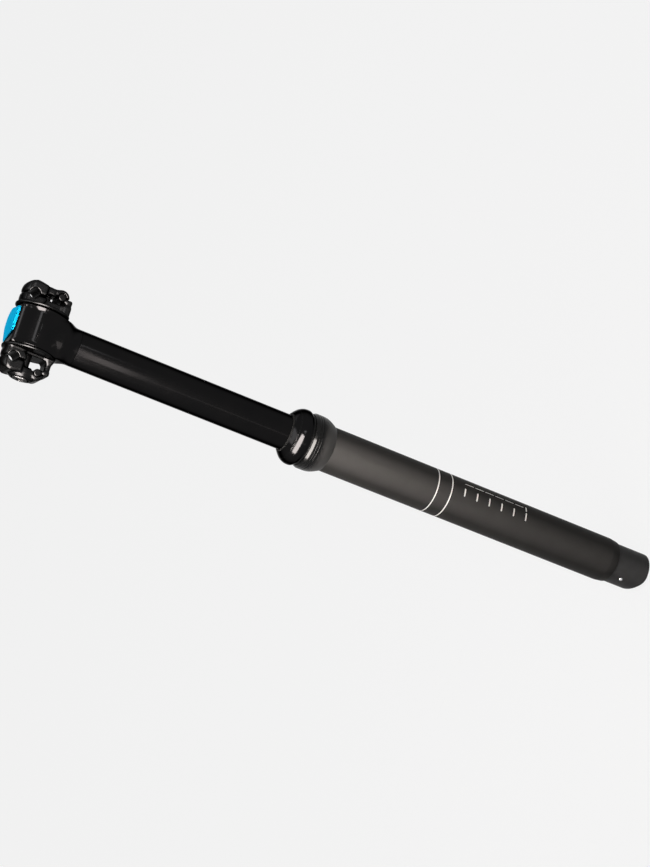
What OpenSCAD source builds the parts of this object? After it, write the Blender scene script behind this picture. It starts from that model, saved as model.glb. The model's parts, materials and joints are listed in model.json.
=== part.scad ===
// Dropper seatpost with a cable-driven gas cartridge and a side-bolt saddle clamp.
// Z runs up the post, X fore and aft along the saddle rails, Y across along the clamp bolt.
// The origin is on the post's axis, where the collar ends and the clampable tube begins.
// The post is drawn fully raised.

/* [Lower tube] */
// Outside diameter of the lower tube, which fits the bicycle frame
tube_od = 31.6; // [30.9:0.1:33.9]
// Wall of the lower tube
tube_wall = 2.3; // [2.0:0.1:2.6]
// Room in the lower tube under the lowered stanchion, for the cartridge foot
base_room = 21.5; // [20:0.5:40]
// Height of the slight taper at the tube's lower end
tube_taper_h = 6; // [3:0.5:12]
// How much the radius shrinks over that taper
tube_taper_in = 0.8; // [0.3:0.1:1.0]

/* [Stanchion] */
// Room between the lower tube's bore and the stanchion, for the bushings
guide_gap = 1; // [0.9:0.05:1.2]
// Outside diameter of the sliding stanchion
stanchion_od = tube_od - 2 * (tube_wall + guide_gap);
// Wall of the stanchion
stanchion_wall = 2; // [1.8:0.1:2.1]
// Drop of the saddle
travel = 150; // [100:5:200]
// Length of the stanchion that stays in the lower tube at full height
overlap = 62; // [58:1:90]
// Bare stanchion left above the collar when fully lowered
neck_clear = 5.8; // [4:0.1:12]

/* [Collar] */
// How far the screw-on seal head stands out from the lower tube
seal_out = 4.1; // [3.8:0.1:6.2]
// Outside diameter of the seal head
seal_head_od = tube_od + 2 * seal_out;
// How far the fixed collar ring under it stands out from the lower tube
collar_out = 3.9; // [3.4:0.1:5.2]
// Outside diameter of the collar ring
collar_od = tube_od + 2 * collar_out;
// Height of the conical foot of the collar
collar_taper_h = 10; // [6:0.5:14]
// Height of the straight collar ring above the cone
collar_ring_h = 7; // [6:0.5:10]
// Open groove between the collar ring and the seal head
collar_groove = 1.8; // [1:0.1:3]
// Height of the seal head
seal_head_h = 12.4; // [12:0.1:16]
// Height of the rounding round the mouth of the seal head
seal_round_h = 9.2; // [8:0.1:9.6]
// How far that rounding draws the radius in
seal_round_in = 6; // [4:0.1:6]
// How far the lower tube reaches up into the collar
tube_in_collar = 14; // [12:0.5:15]
// How much the tube is turned down inside the collar
collar_step = 0.4; // [0.2:0.1:0.6]
// Length of the upper guide bushing
upper_bushing_h = 30; // [20:1:34]

/* [Guide] */
// Width of the three brass guide keys
key_w = 2.4; // [2:0.1:3]
// Length of the guide keys
key_h = 12; // [8:0.5:15]
// How far the keys stand into the stanchion's wall
key_seat = 0.6; // [0.4:0.1:0.9]
// Depth of the key grooves in the lower tube
groove_depth = 0.8; // [0.6:0.1:1.0]
// Length of the lower guide bushing
lower_bushing_h = 20; // [14:1:21]

/* [Gas cartridge] */
// Room between the cartridge cylinder and the stanchion's bore
cartridge_gap = 1.5; // [1.3:0.1:2]
// Outside diameter of the cartridge cylinder
cylinder_od = stanchion_od - 2 * (stanchion_wall + cartridge_gap);
// Wall of the cartridge cylinder
cylinder_wall = 1.5; // [1.2:0.05:1.75]
// Bore of the cartridge cylinder
cylinder_bore = cylinder_od - 2 * cylinder_wall;
// Diameter of the piston rod
rod_d = 8; // [7.6:0.1:8.6]
// Bore of the piston rod
rod_bore = 4; // [3.6:0.1:4.4]
// Diameter of the valve pin in the rod
valve_pin_d = 3; // [2.4:0.1:3.2]
// Length of the piston
piston_h = 10; // [8:0.5:12]
// Length of the floating piston between oil and gas
float_h = 12; // [8:0.5:14]
// Length of the gland at the mouth of the cylinder
gland_h = 14; // [10:0.5:16]

/* [Actuator] */
// Outside diameter of the actuator housing under the tube
cap_od = 28.4; // [27.6:0.1:29]
// Length of the actuator housing under the tube
cap_h = 27; // [23:0.5:30]
// Slope of the cut across half of its lower end, in degrees
cap_slope = 25; // [15:1:28]
// Direction of that cut round the post, in degrees from +X
cap_turn = -125; // [-180:5:180]
// Wall of the actuator housing
cap_wall = 2.5; // [2:0.1:2.7]
// Bore of the cable stop
cable_bore = 5.2; // [4.2:0.1:5.4]
// Diameter of the lever's pivot pin
pivot_d = 2.5; // [2:0.1:3]
// Distance of the pivot from the post's axis
pivot_off = 4.5; // [4.3:0.1:4.8]
// Distance of the cable anchor from the pivot
anchor_arm = 3.5; // [3.4:0.1:3.6]
// Width of the lever
lever_w = 7; // [5:0.5:9]

/* [Head] */
// Height of the clamp bolt above the stanchion's upper end
neck_h = 28; // [27:0.5:34]
// Diameter of the head's cross barrel at its ends
barrel_d = 34; // [33.5:0.5:36]
// Diameter of the cross barrel in its middle
barrel_waist_d = 32; // [31:0.5:33]
// Length over which the barrel flares out at each end
barrel_flare = 3.5; // [2:0.5:6]
// Length of the cross barrel
barrel_len = 27; // [26:0.5:30]
// Radius of the flared shoulder under the barrel
shoulder_r = 16.2; // [14:0.1:16.6]
// Chamfer round the ends of the barrel
barrel_chamfer = 0.8; // [0.5:0.1:1.2]
// Height of the head's flat top above the bolt
flat_h = 15.8; // [15:0.1:16]
// Thickness of the cover on that flat, in its level middle
cover_h = 2.2; // [1.6:0.1:2.4]
// Thickness of the cover at its sides
cover_side_h = 0.7; // [0.5:0.1:1]
// Width of the cover's level middle
cover_level_w = 9; // [8:0.5:12]
// Length of the cover fore and aft
cover_len = 20; // [18:0.5:22]
// Width of the cover at its front
cover_front_w = 16; // [14:0.5:20]
// How far the cover's back stays in from the barrel's ends
cover_rim = 1; // [0.8:0.1:2.5]
// Width of the cover at its back
cover_back_w = barrel_len - 2 * cover_rim;
// How far the cover's front is set over to the right
cover_shift = 2.5; // [0:0.5:3]

/* [Saddle clamp] */
// Diameter of the saddle rails
rail_d = 7; // [6.8:0.1:7.2]
// Distance between the two rails, centre to centre
rail_span = 44; // [43:0.5:46]
// Height of the rails above the bolt
rail_h = 10; // [9.5:0.25:10.5]
// Radius of the round jaw about each rail
jaw_r = 8.8; // [8.4:0.1:9.2]
// Length of the outer jaw along the rail
jaw_len = 20; // [18:0.5:24]
// Radius of the clamps' round top about the bolt
clamp_r = 17; // [16.8:0.1:17.6]
// Diameter of the inner clamp disc
disc_d = 36; // [34:0.5:38]
// Thickness of the inner clamp disc
disc_h = 1.6; // [1.4:0.1:2.2]
// Height of the rib across the inner clamp disc
rib_h = 1.4; // [0.8:0.1:1.8]
// Width of the clamps at the bolt and the heel
waist_w = 16; // [14:0.5:18]
// Depth of the heel pin under the bolt
heel_drop = 8.1; // [8:0.1:8.6]
// Distance of the heel pin beyond the rail
heel_out = 4.4; // [4:0.1:4.8]
// Diameter of the heel pin
heel_d = 5.2; // [5:0.1:5.6]
// Wall of the hook round the heel pin
hook_wall = 2.2; // [1.8:0.1:2.6]
// Outer face of the outer clamp's body, beyond the rail centre
body_out = 8.1; // [7.8:0.1:8.6]
// Thickness of the outer clamp's body
body_t = 5.1; // [4.4:0.1:5.4]
// Diameter of the boss round the bolt's head
boss_d = 16; // [14:0.1:17]
// How far that boss stands out of the body
boss_h = 2.5; // [1.5:0.1:3]
// Diameter of the clamp bolt
bolt_d = 6; // [5:0.1:6.2]
// Diameter of the clamp bolt's head
bolt_head_d = 10; // [9:0.1:10.4]
// Height of the clamp bolt's head
bolt_head_h = 4.2; // [3.6:0.1:6]

/* [Clearances] */
// Bond line between pieces that are glued, pressed or screwed together
bond = 0.05; // [0.02:0.01:0.08]
// Radial running gap of sliding and turning fits
run = 0.06; // [0.04:0.01:0.09]
// Gap between pieces that pass each other freely
free = 0.3; // [0.25:0.05:0.4]

/* [Hidden] */

// Fineness of the round shapes
fine = 96;
$fn = fine;
// A little past a face, so that cuts go right through
past = 1;

// Radii of the tubes
tube_r = tube_od / 2;
bore_r = tube_r - tube_wall;
stanchion_r = stanchion_od / 2;
stanchion_bore_r = stanchion_r - stanchion_wall;

// Heights up the collar
collar_ring_top = collar_taper_h + collar_ring_h;
seal_head_z = collar_ring_top + collar_groove;
collar_top = seal_head_z + seal_head_h;
collar_seat_r = tube_r - collar_step;
collar_lip_h = 2;
lip_gap = 1;
collar_lip_r = stanchion_r + lip_gap;
collar_foot_out = 0.4;
collar_edge = 1;
collar_edge_h = 2;
collar_lip_top = tube_in_collar + collar_lip_h;
spigot_h = 6.2;
spigot_top = seal_head_z + spigot_h;
seal_wall = 2.3;
spigot_wall = 2.5;
spigot_r = seal_head_od / 2 - seal_wall;
spigot_bore_r = spigot_r - spigot_wall;
seal_lip_h = 2.2;
mouth_gap = 1.2;
seal_mouth_r = stanchion_r + mouth_gap;
wiper_stand = 0.9;
foam_h = 5;

// Heights of the post
neck_z = collar_top + travel + neck_clear;
stanchion_z = -overlap;
tube_len = overlap + travel + base_room;
end_z = -tube_len;
bolt_z = neck_z + neck_h;

// The upper bushing, its circlip and the bumper under it
upper_bushing_z = tube_in_collar - upper_bushing_h;
circlip_h = 1.2;
circlip_seat = 0.7;
circlip_z = upper_bushing_z - circlip_h - bond;
bumper_h = 4;
bumper_z = circlip_z - bumper_h - bond;
key_count = 3;
key_z = bumper_z - free - key_h;
key_in_r = stanchion_r - key_seat;
groove_r = bore_r + groove_depth;
key_out_r = groove_r - free;
groove_w = key_w + 2 * run;
lower_bushing_z = key_z - free - lower_bushing_h;

// The cartridge, from its mouth up
head_spigot_len = 29;
socket_in = 10;
retainer_h = 5;
retainer_hole_r = rod_d / 2 + 1;
cylinder_z = stanchion_z + retainer_h + bond;
cylinder_top = neck_z - head_spigot_len + socket_in;
cylinder_r = cylinder_od / 2;
cylinder_bore_r = cylinder_bore / 2;
gland_in = 2;
gland_z = cylinder_z + gland_in;
gland_step_h = gland_in - bond;
rod_seal_h = 3;
rod_seal_z = gland_z + gland_h + bond;
rod_r = rod_d / 2;
piston_gap = 5;
piston_z = rod_seal_z + rod_seal_h + piston_gap;
piston_nut_h = 4;
piston_nut_d = 11.6;
rod_top = piston_z + piston_h + piston_nut_h + bond;
displacement = (rod_d / cylinder_bore) * (rod_d / cylinder_bore);
float_room = 9;
float_z = rod_top + travel * (1 - displacement) + float_room;
gas_plug_h = 12;
gas_plug_flange_h = 2;
ring_groove = 0.9;
ring_h = 2;

// The actuator, from the tube's end down
plate_above = 6;
plate_below = 2;
stud_r = 3;
cap_r = cap_od / 2;
cap_end_z = end_z - cap_h;
cap_spigot_h = 12;
cap_spigot_wall = 2.4;
cavity_r = cap_r - cap_wall;
cavity_h = 14.2;
cavity_floor_z = end_z - cavity_h;
pivot_drop = 9;
pivot_z = end_z - pivot_drop;
pin_proud = 0.2;
hub_r = 2.9;
lever_reach = 2.5;
barrel_r = 1.7;
cable_off = pivot_off + anchor_arm;
spot_rim = 1.6;
spot_depth = 0.2;
spot_r = cable_bore / 2 + spot_rim;
spot_z = cap_end_z + (cable_off + spot_r) * tan(cap_slope) + spot_depth;
cable_slot_d = 1.8;
cable_hole_d = 1.5;
grub_r = 1;
grub_floor = 0.9;
grub_gap = 0.3;
valve_gap = 1.5;
lock_nut_h = 5;
lock_nut_d = 12.7;

// The head and the clamp
barrel_half = barrel_len / 2;
cross_r = barrel_d / 2;
barrel_waist_r = barrel_waist_d / 2;
head_spigot_r = stanchion_bore_r - bond;
socket_top = cylinder_top + gas_plug_flange_h + bond;
pedestal_rim = 0.4;
disc_in = barrel_half + free;
disc_out = disc_in + disc_h;
rail_y = rail_span / 2;
rail_r = rail_d / 2;
split = free;
rib_out = disc_out + rib_h;
rib_right_out = rail_y - 2 * split;
heel_y = rail_y + heel_out;
heel_r = heel_d / 2;
heel_hook_r = heel_r + free + hook_wall;
bolt_hole_r = bolt_d / 2 + free;
clamp_out = rail_y + body_out;
body_in = clamp_out - body_t;
neck_ring_h = 2;
shoulder_gap = 0.5;
shoulder_z = bolt_z - disc_d / 2 - shoulder_gap;
washer_h = 1.4;
washer_rim = 0.2;
bolt_seat_depth = 2.5;
bolt_seat = clamp_out - bolt_seat_depth;
bolt_room = 1;
nut_d = 10;
nut_r = nut_d / 2;
nut_h = 4.4;
nut_seat_depth = 3.5;
nut_seat = clamp_out - nut_seat_depth;
tip_past_nut = 0.5;

// Round bar along Y, centred on the origin
module cross_bar(r, half) {
    rotate([90, 0, 0]) cylinder(r = r, h = 2 * half, center = true);
}

// Plain ring about Z
module ring(inner, outer, z, h) {
    translate([0, 0, z]) difference() {
        cylinder(r = outer, h = h);
        translate([0, 0, -past]) cylinder(r = inner, h = h + 2 * past);
    }
}

// Hexagon about Z with a round hole
module hex_nut(across_corners, hole_r, z, h) {
    translate([0, 0, z]) difference() {
        cylinder(d = across_corners, h = h, $fn = 6);
        translate([0, 0, -past]) cylinder(r = hole_r, h = h + 2 * past, $fn = fine);
    }
}

// The places of the three guide keys round the post
module at_keys() {
    for (i = [0 : key_count - 1]) rotate([0, 0, 90 + i * 360 / key_count]) children();
}

// A profile drawn as [y, z] points, run along X to the given length
module along_rail(length) {
    rotate([90, 0, 90]) linear_extrude(height = length, center = true) children();
}

// The fixed lower tube with its three key grooves
module outer_tube() {
    color([0.09, 0.09, 0.09]) difference() {
        rotate_extrude() polygon([[bore_r, end_z], [tube_r - tube_taper_in, end_z],
            [tube_r, end_z + tube_taper_h], [tube_r, 0], [collar_seat_r, 0],
            [collar_seat_r, tube_in_collar], [bore_r, tube_in_collar]]);
        at_keys() translate([0, -groove_w / 2, end_z - past])
            cube([groove_r, groove_w, tube_len + tube_in_collar + 2 * past]);
        translate([0, 0, circlip_z - bond]) cylinder(r = bore_r + circlip_seat, h = circlip_h + 2 * bond);
    }
}

// Radius of the collar at a share t of its swelling foot
function collar_foot_r(t) = tube_r + collar_foot_out
    + (collar_od / 2 - tube_r - collar_foot_out) * sin(90 * t);

// The collar bonded round the tube's upper end, with two thin grooves round its ring
module collar_sleeve() {
    steps = 8;
    r = collar_od / 2;
    line_w = 0.5;
    line_in = 0.35;
    lines = [1.4, 3.3];
    color([0.12, 0.12, 0.12]) difference() {
        rotate_extrude() polygon(concat(
            [[collar_seat_r + bond, 0]],
            [for (i = [0 : steps]) [collar_foot_r(i / steps), collar_taper_h * i / steps]],
            [[r, collar_ring_top - collar_edge_h], [r - collar_edge, collar_ring_top],
                [spigot_r, collar_ring_top], [spigot_r, spigot_top], [spigot_bore_r, spigot_top],
                [spigot_bore_r, collar_lip_top], [collar_lip_r, collar_lip_top],
                [collar_lip_r, tube_in_collar + bond], [collar_seat_r + bond, tube_in_collar + bond]]));
        for (line = lines) ring(r - line_in, r + past, collar_taper_h + line, line_w);
    }
}

// The screw-on seal head, well rounded towards its mouth
module seal_head() {
    steps = 8;
    power = 2.2;
    r = seal_head_od / 2;
    round_z = collar_top - seal_round_h;
    color([0.04, 0.04, 0.04]) rotate_extrude() polygon(concat(
        [[spigot_r + bond, seal_head_z], [r - collar_edge, seal_head_z], [r, seal_head_z + collar_edge_h]],
        [for (i = [0 : steps]) let (t = i / steps)
            [r - seal_round_in * pow(t, power), round_z + seal_round_h * t]],
        [[seal_mouth_r, collar_top], [seal_mouth_r, collar_top - seal_lip_h],
            [spigot_bore_r, collar_top - seal_lip_h], [spigot_bore_r, spigot_top + bond],
            [spigot_r + bond, spigot_top + bond]]));
}

// The rubber wiper held under the seal head's lip
module wiper_seal() {
    body_z = collar_lip_top + foam_h + 2 * bond;
    body_top = collar_top - seal_lip_h - bond;
    inner = stanchion_r + run;
    lip_w = 0.4;
    color([0.03, 0.03, 0.03]) rotate_extrude() polygon([
        [inner, body_z], [spigot_bore_r - bond, body_z], [spigot_bore_r - bond, body_top],
        [seal_mouth_r - bond, body_top], [seal_mouth_r - bond, collar_top],
        [inner + lip_w, collar_top + wiper_stand], [inner, collar_top + wiper_stand]]);
}

// The oiled foam ring under the wiper
module foam_ring() {
    color([0.25, 0.25, 0.23])
        ring(stanchion_r + run, spigot_bore_r - bond, collar_lip_top + bond, foam_h);
}

// The guide bushing in the tube's upper end
module upper_bushing() {
    color([0.45, 0.38, 0.28])
        ring(stanchion_r + run, bore_r - bond, upper_bushing_z, upper_bushing_h - bond);
}

// The snap ring that carries the upper bushing
module bushing_circlip() {
    gap_w = 5;
    color([0.55, 0.55, 0.57]) difference() {
        ring(stanchion_r + free, bore_r + circlip_seat - bond, circlip_z, circlip_h);
        translate([0, -gap_w / 2, circlip_z - past]) cube([tube_r, gap_w, circlip_h + 2 * past]);
    }
}

// The rubber ring that stops the keys at full height
module top_out_bumper() {
    color([0.06, 0.06, 0.06]) ring(stanchion_r + free, bore_r - bond, bumper_z, bumper_h);
}

// The actuator housing screwed into the tube's lower end
module actuator_housing() {
    rim = 0.8;
    color([0.14, 0.14, 0.15]) rotate([0, 0, cap_turn]) difference() {
        rotate_extrude() polygon([
            [0, cap_end_z], [cap_r - rim, cap_end_z], [cap_r, cap_end_z + rim], [cap_r, end_z],
            [bore_r - bond, end_z], [bore_r - bond, end_z + cap_spigot_h], [0, end_z + cap_spigot_h]]);
        translate([0, 0, end_z + plate_above])
            cylinder(r = bore_r - cap_spigot_wall, h = cap_spigot_h);
        translate([0, 0, cavity_floor_z])
            cylinder(r = cavity_r, h = end_z - plate_below - cavity_floor_z);
        translate([0, 0, end_z - plate_below - past])
            cylinder(r = stud_r + bond, h = plate_above + plate_below + 2 * past);
        translate([cable_off, 0, cap_end_z - past])
            cylinder(d = cable_bore, h = cavity_floor_z - cap_end_z + 2 * past);
        translate([cable_off, 0, cap_end_z - past]) cylinder(r = spot_r, h = spot_z - cap_end_z + past);
        translate([pivot_off, 0, pivot_z]) cross_bar(pivot_d / 2 + bond, cap_r);
        translate([0, 0, cap_end_z]) rotate([0, -cap_slope, 0])
            translate([0, -cap_r - past, -cap_h]) cube([2 * cap_r, 2 * (cap_r + past), cap_h]);
    }
}

// The lever's pivot pin, a chord across the housing
module lever_pivot_pin() {
    half = sqrt(cap_r * cap_r - pow(pivot_off + pivot_d / 2, 2)) + pin_proud;
    color([0.7, 0.7, 0.72]) rotate([0, 0, cap_turn])
        translate([pivot_off, 0, pivot_z]) cross_bar(pivot_d / 2, half);
}

// The fixed hollow rod, with a threaded foot in the housing's plate
module piston_rod() {
    foot_z = end_z - plate_below + free;
    color([0.78, 0.78, 0.8]) difference() {
        union() {
            translate([0, 0, end_z + plate_above])
                cylinder(r = rod_r, h = rod_top - end_z - plate_above);
            translate([0, 0, foot_z]) cylinder(r = stud_r, h = end_z + plate_above - foot_z);
        }
        translate([0, 0, foot_z - past]) cylinder(d = rod_bore, h = rod_top - foot_z + 2 * past);
    }
}

// The nut that locks the rod's foot
module rod_lock_nut() {
    color([0.6, 0.6, 0.62]) hex_nut(lock_nut_d, rod_r + bond, end_z + plate_above, lock_nut_h);
}

// The piston on the rod's upper end
module piston() {
    groove_z = piston_z + (piston_h - ring_h) / 2 - bond;
    r = cylinder_bore_r - run;
    color([0.66, 0.66, 0.68]) difference() {
        ring(rod_r + bond, r, piston_z, piston_h);
        ring(r - ring_groove, r + past, groove_z, ring_h + 2 * bond);
    }
}

// The glide ring in the piston's groove
module piston_seal() {
    r = cylinder_bore_r - run;
    color([0.2, 0.2, 0.2])
        ring(r - ring_groove + bond, r, piston_z + (piston_h - ring_h) / 2, ring_h);
}

// The nut that holds the piston
module piston_nut() {
    color([0.6, 0.6, 0.62])
        hex_nut(piston_nut_d, rod_r + bond, piston_z + piston_h + bond, piston_nut_h);
}

// The sliding stanchion with pockets for the guide keys
module stanchion() {
    color([0.03, 0.03, 0.03]) difference() {
        ring(stanchion_bore_r, stanchion_r, stanchion_z, neck_z - stanchion_z);
        at_keys() translate([key_in_r - bond, -key_w / 2 - bond, key_z - bond])
            cube([tube_r, key_w + 2 * bond, key_h + 2 * bond]);
    }
}

// Radius of the neck at a share t of its shoulder: it leaves the stanchion straight and flares
function neck_r(t) = stanchion_r + (shoulder_r - stanchion_r) * t * t;

// Radius of the barrel at a share t of its flare, from the middle to the end
function barrel_wall_r(t) = barrel_waist_r + (cross_r - barrel_waist_r) * t * t;

// The cross barrel about Z: narrower in the middle, with flared ends
module barrel() {
    steps = 6;
    straight = barrel_half - barrel_flare;
    run_out = barrel_flare - barrel_chamfer;
    flare = [for (i = [0 : steps]) let (s = run_out * i / steps)
        [barrel_wall_r(s / barrel_flare), straight + s]];
    rotate_extrude() polygon(concat(
        [[0, -barrel_half], [flare[steps][0] - barrel_chamfer / 2, -barrel_half]],
        [for (i = [0 : steps]) [flare[steps - i][0], -flare[steps - i][1]]],
        flare,
        [[flare[steps][0] - barrel_chamfer / 2, barrel_half], [0, barrel_half]]));
}

// The forged head: cross barrel with a flat top, flared shoulder and the spigot bonded into the stanchion
module forged_head() {
    steps = 8;
    flare_z = neck_z + neck_ring_h;
    slab = barrel_half - barrel_flare / 2;
    core_z = shoulder_z - past;
    spigot_z = neck_z - head_spigot_len;
    pedestal_len = cover_len + 2 * pedestal_rim;
    color([0.03, 0.03, 0.03]) difference() {
        union() {
            translate([0, 0, bolt_z]) rotate([90, 0, 0]) barrel();
            rotate_extrude() polygon(concat([[0, neck_z], [stanchion_r, neck_z]],
                [for (i = [0 : steps]) let (t = i / steps)
                    [neck_r(t), flare_z + (shoulder_z - flare_z) * t]],
                [[0, shoulder_z]]));
            intersection() {
                translate([0, 0, core_z]) cylinder(r = shoulder_r, h = bolt_z - core_z);
                translate([-cross_r, -slab, neck_z]) cube([2 * cross_r, 2 * slab, neck_h]);
            }
            translate([-pedestal_len / 2, free - barrel_half, bolt_z])
                cube([pedestal_len, barrel_len - 2 * free, flat_h]);
            translate([0, 0, spigot_z]) cylinder(r = head_spigot_r, h = head_spigot_len + past);
        }
        translate([0, 0, spigot_z - past])
            cylinder(r = cylinder_r + bond, h = socket_top - spigot_z + past);
        translate([0, 0, bolt_z]) cross_bar(bolt_hole_r, barrel_half + past);
        translate([-cross_r, -barrel_half - past, bolt_z + flat_h])
            cube([2 * cross_r, barrel_len + 2 * past, cross_r]);
    }
}

// The bright cover on the head's flat top: narrow in front, wide behind, with sides that fall away
module head_cover() {
    x = cover_len / 2;
    front = cover_front_w / 2;
    back = cover_back_w / 2;
    level = cover_level_w / 2;
    slope = (cover_h - cover_side_h) / (back - level);
    fall = back + cover_side_h / slope;
    z = bolt_z + flat_h;
    color([0.1, 0.72, 0.88]) intersection() {
        translate([0, 0, z]) linear_extrude(height = cover_h)
            polygon([[x, cover_shift - front], [x, cover_shift + front], [-x, back], [-x, -back]]);
        along_rail(2 * cover_len) translate([cover_shift, 0]) polygon([
            [-fall, z - past], [fall, z - past], [fall, z], [back, z + cover_side_h],
            [level, z + cover_h], [-level, z + cover_h], [-back, z + cover_side_h], [-fall, z]]);
    }
}

// The cartridge cylinder that rides inside the stanchion
module cartridge_cylinder() {
    color([0.72, 0.72, 0.74])
        ring(cylinder_bore_r, cylinder_r, cylinder_z, cylinder_top - cylinder_z);
}

// The screwed ring that keeps the cartridge in the stanchion
module cartridge_retainer() {
    color([0.5, 0.5, 0.52]) ring(retainer_hole_r, stanchion_bore_r - bond, stanchion_z, retainer_h);
}

// The gland that guides the rod at the cylinder's mouth
module rod_gland() {
    color([0.6, 0.52, 0.3])
        ring(rod_r + run, cylinder_bore_r - bond, gland_z - gland_step_h, gland_h + gland_step_h);
}

// The lip seal above the gland
module rod_seal() {
    color([0.08, 0.08, 0.08]) ring(rod_r + run, cylinder_bore_r - bond, rod_seal_z, rod_seal_h);
}

// The plug that closes the cylinder's gas end
module gas_plug() {
    body_z = cylinder_top - gas_plug_h;
    r = cylinder_bore_r - bond;
    color([0.66, 0.66, 0.68]) difference() {
        union() {
            translate([0, 0, body_z]) cylinder(r = r, h = gas_plug_h + past);
            translate([0, 0, cylinder_top]) cylinder(r = cylinder_r - bond, h = gas_plug_flange_h);
        }
        ring(r - ring_groove, r + past, body_z + gas_plug_h / 2 - bond, ring_h + 2 * bond);
    }
}

// The seal ring round the gas plug
module gas_plug_oring() {
    r = cylinder_bore_r - bond;
    color([0.05, 0.05, 0.05])
        ring(r - ring_groove + bond, r, cylinder_top - gas_plug_h / 2, ring_h);
}

// The three brass keys that stop the post turning
module guide_keys() {
    color([0.72, 0.58, 0.25]) at_keys() translate([key_in_r, -key_w / 2, key_z])
        cube([key_out_r - key_in_r, key_w, key_h]);
}

// The guide bushing round the stanchion's lower end
module lower_bushing() {
    color([0.45, 0.38, 0.28])
        ring(stanchion_r + bond, bore_r - run, lower_bushing_z, lower_bushing_h);
}

// The free piston between oil and gas
module floating_piston() {
    r = cylinder_bore_r - run;
    color([0.66, 0.66, 0.68]) difference() {
        translate([0, 0, float_z]) cylinder(r = r, h = float_h);
        ring(r - ring_groove, r + past, float_z + (float_h - ring_h) / 2 - bond, ring_h + 2 * bond);
    }
}

// The seal ring round the free piston
module floating_piston_oring() {
    r = cylinder_bore_r - run;
    color([0.05, 0.05, 0.05])
        ring(r - ring_groove + bond, r, float_z + (float_h - ring_h) / 2, ring_h);
}

// One inner clamp on the +Y side: disc, rail cradle, the rib that ends at the given distance from the
// middle, and the foot that carries the heel pin
module inner_clamp(rib_end) {
    cradle_in = 1;
    cradle_floor = 3.5;
    foot_gap = 1;
    foot_edge = 2.4;
    fillet_max = 2.6;
    bevel = 1.6;
    cradle_len = jaw_len - 2 * cradle_in;
    rib_w = waist_w - 2 * cradle_in;
    rib_top = rail_h - rail_r - cradle_floor;
    foot_top = heel_drop + heel_r + foot_gap;
    foot_low = disc_d / 2 - foot_edge;
    foot_end = heel_y - free;
    web_in = heel_y - heel_r;
    fillet = min(fillet_max, web_in - rib_end - bond);
    color([0.03, 0.03, 0.03]) translate([0, 0, bolt_z]) difference() {
        union() {
            translate([0, (disc_in + disc_out) / 2, 0]) cross_bar(disc_d / 2, disc_h / 2);
            intersection() {
                along_rail(cradle_len) intersection() {
                    translate([rail_y, rail_h]) circle(r = jaw_r);
                    translate([disc_in, rail_h - jaw_r]) square([rail_y - split - disc_in, 2 * jaw_r]);
                }
                translate([0, rail_y, 0]) cross_bar(clamp_r, rail_y);
            }
            along_rail(rib_w) polygon(concat(
                [[disc_in, rib_top], [rib_end, rib_top]],
                [for (a = [0 : 15 : 90])
                    [rib_end + fillet * (1 - cos(a)), -foot_top + fillet * (1 - sin(a))]],
                [[web_in, -foot_top], [web_in, -heel_drop], [foot_end, -heel_drop],
                    [foot_end, -foot_low + bevel], [foot_end - bevel, -foot_low], [disc_in, -foot_low]]));
            along_rail(waist_w) translate([heel_y, -heel_drop]) circle(r = heel_r);
        }
        along_rail(jaw_len + 2 * past) translate([rail_y, rail_h]) circle(r = rail_r + bond);
        translate([0, rail_y, 0]) cross_bar(bolt_hole_r, rail_y);
    }
}

// The side view of the outer clamp: long at the rail with a round top, narrow below
module outer_clamp_outline() {
    corner = 2.5;
    wide = jaw_len / 2;
    narrow = waist_w / 2;
    step_z = rail_h - jaw_r + corner;
    low = heel_drop + heel_hook_r;
    intersection() {
        polygon([
            [-wide, step_z], [-narrow, step_z - corner], [-narrow, corner - low], [corner - narrow, -low],
            [narrow - corner, -low], [narrow, corner - low], [narrow, step_z - corner], [wide, step_z],
            [wide, clamp_r], [-wide, clamp_r]]);
        circle(r = clamp_r);
    }
}

// One outer clamp on the +Y side: rail jaw, body and the hook over the heel pin. The bolt's seat lies at
// the given depth and radius, in a boss that stands out of the body by the given height
module outer_clamp(boss, seat, seat_r) {
    hook_in = heel_y + split;
    color([0.03, 0.03, 0.03]) translate([0, 0, bolt_z]) difference() {
        union() {
            intersection() {
                along_rail(jaw_len) union() {
                    intersection() {
                        translate([rail_y, rail_h]) circle(r = jaw_r);
                        translate([rail_y + split, rail_h - jaw_r]) square([jaw_r, 2 * jaw_r]);
                    }
                    translate([body_in, -heel_drop / 2]) square([body_t, rail_h + heel_drop / 2]);
                    translate([hook_in, -heel_drop]) square([clamp_out - hook_in, rail_h + heel_drop]);
                    intersection() {
                        translate([heel_y, -heel_drop]) circle(r = heel_hook_r);
                        translate([hook_in, -heel_drop - heel_hook_r])
                            square([heel_hook_r, 2 * heel_hook_r]);
                    }
                }
                rotate([90, 0, 0])
                    linear_extrude(height = 4 * clamp_out, center = true) outer_clamp_outline();
            }
            if (boss > 0) translate([0, (hook_in + clamp_out + boss) / 2, 0])
                cross_bar(boss_d / 2, (clamp_out + boss - hook_in) / 2);
        }
        along_rail(jaw_len + 2 * past) translate([rail_y, rail_h]) circle(r = rail_r + bond);
        along_rail(jaw_len + 2 * past) translate([heel_y, -heel_drop]) circle(r = heel_r + free);
        translate([0, clamp_out, 0]) cross_bar(bolt_hole_r, clamp_out);
        translate([0, seat + clamp_out, 0]) cross_bar(seat_r, clamp_out);
    }
}

module inner_clamp_right() { inner_clamp(rib_right_out); }

module inner_clamp_left() { mirror([0, 1, 0]) inner_clamp(rib_out); }

module outer_clamp_right() { outer_clamp(0, nut_seat, nut_r + bond); }

module outer_clamp_left() { mirror([0, 1, 0]) outer_clamp(boss_h, bolt_seat, bolt_head_d / 2 + bolt_room); }

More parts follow.
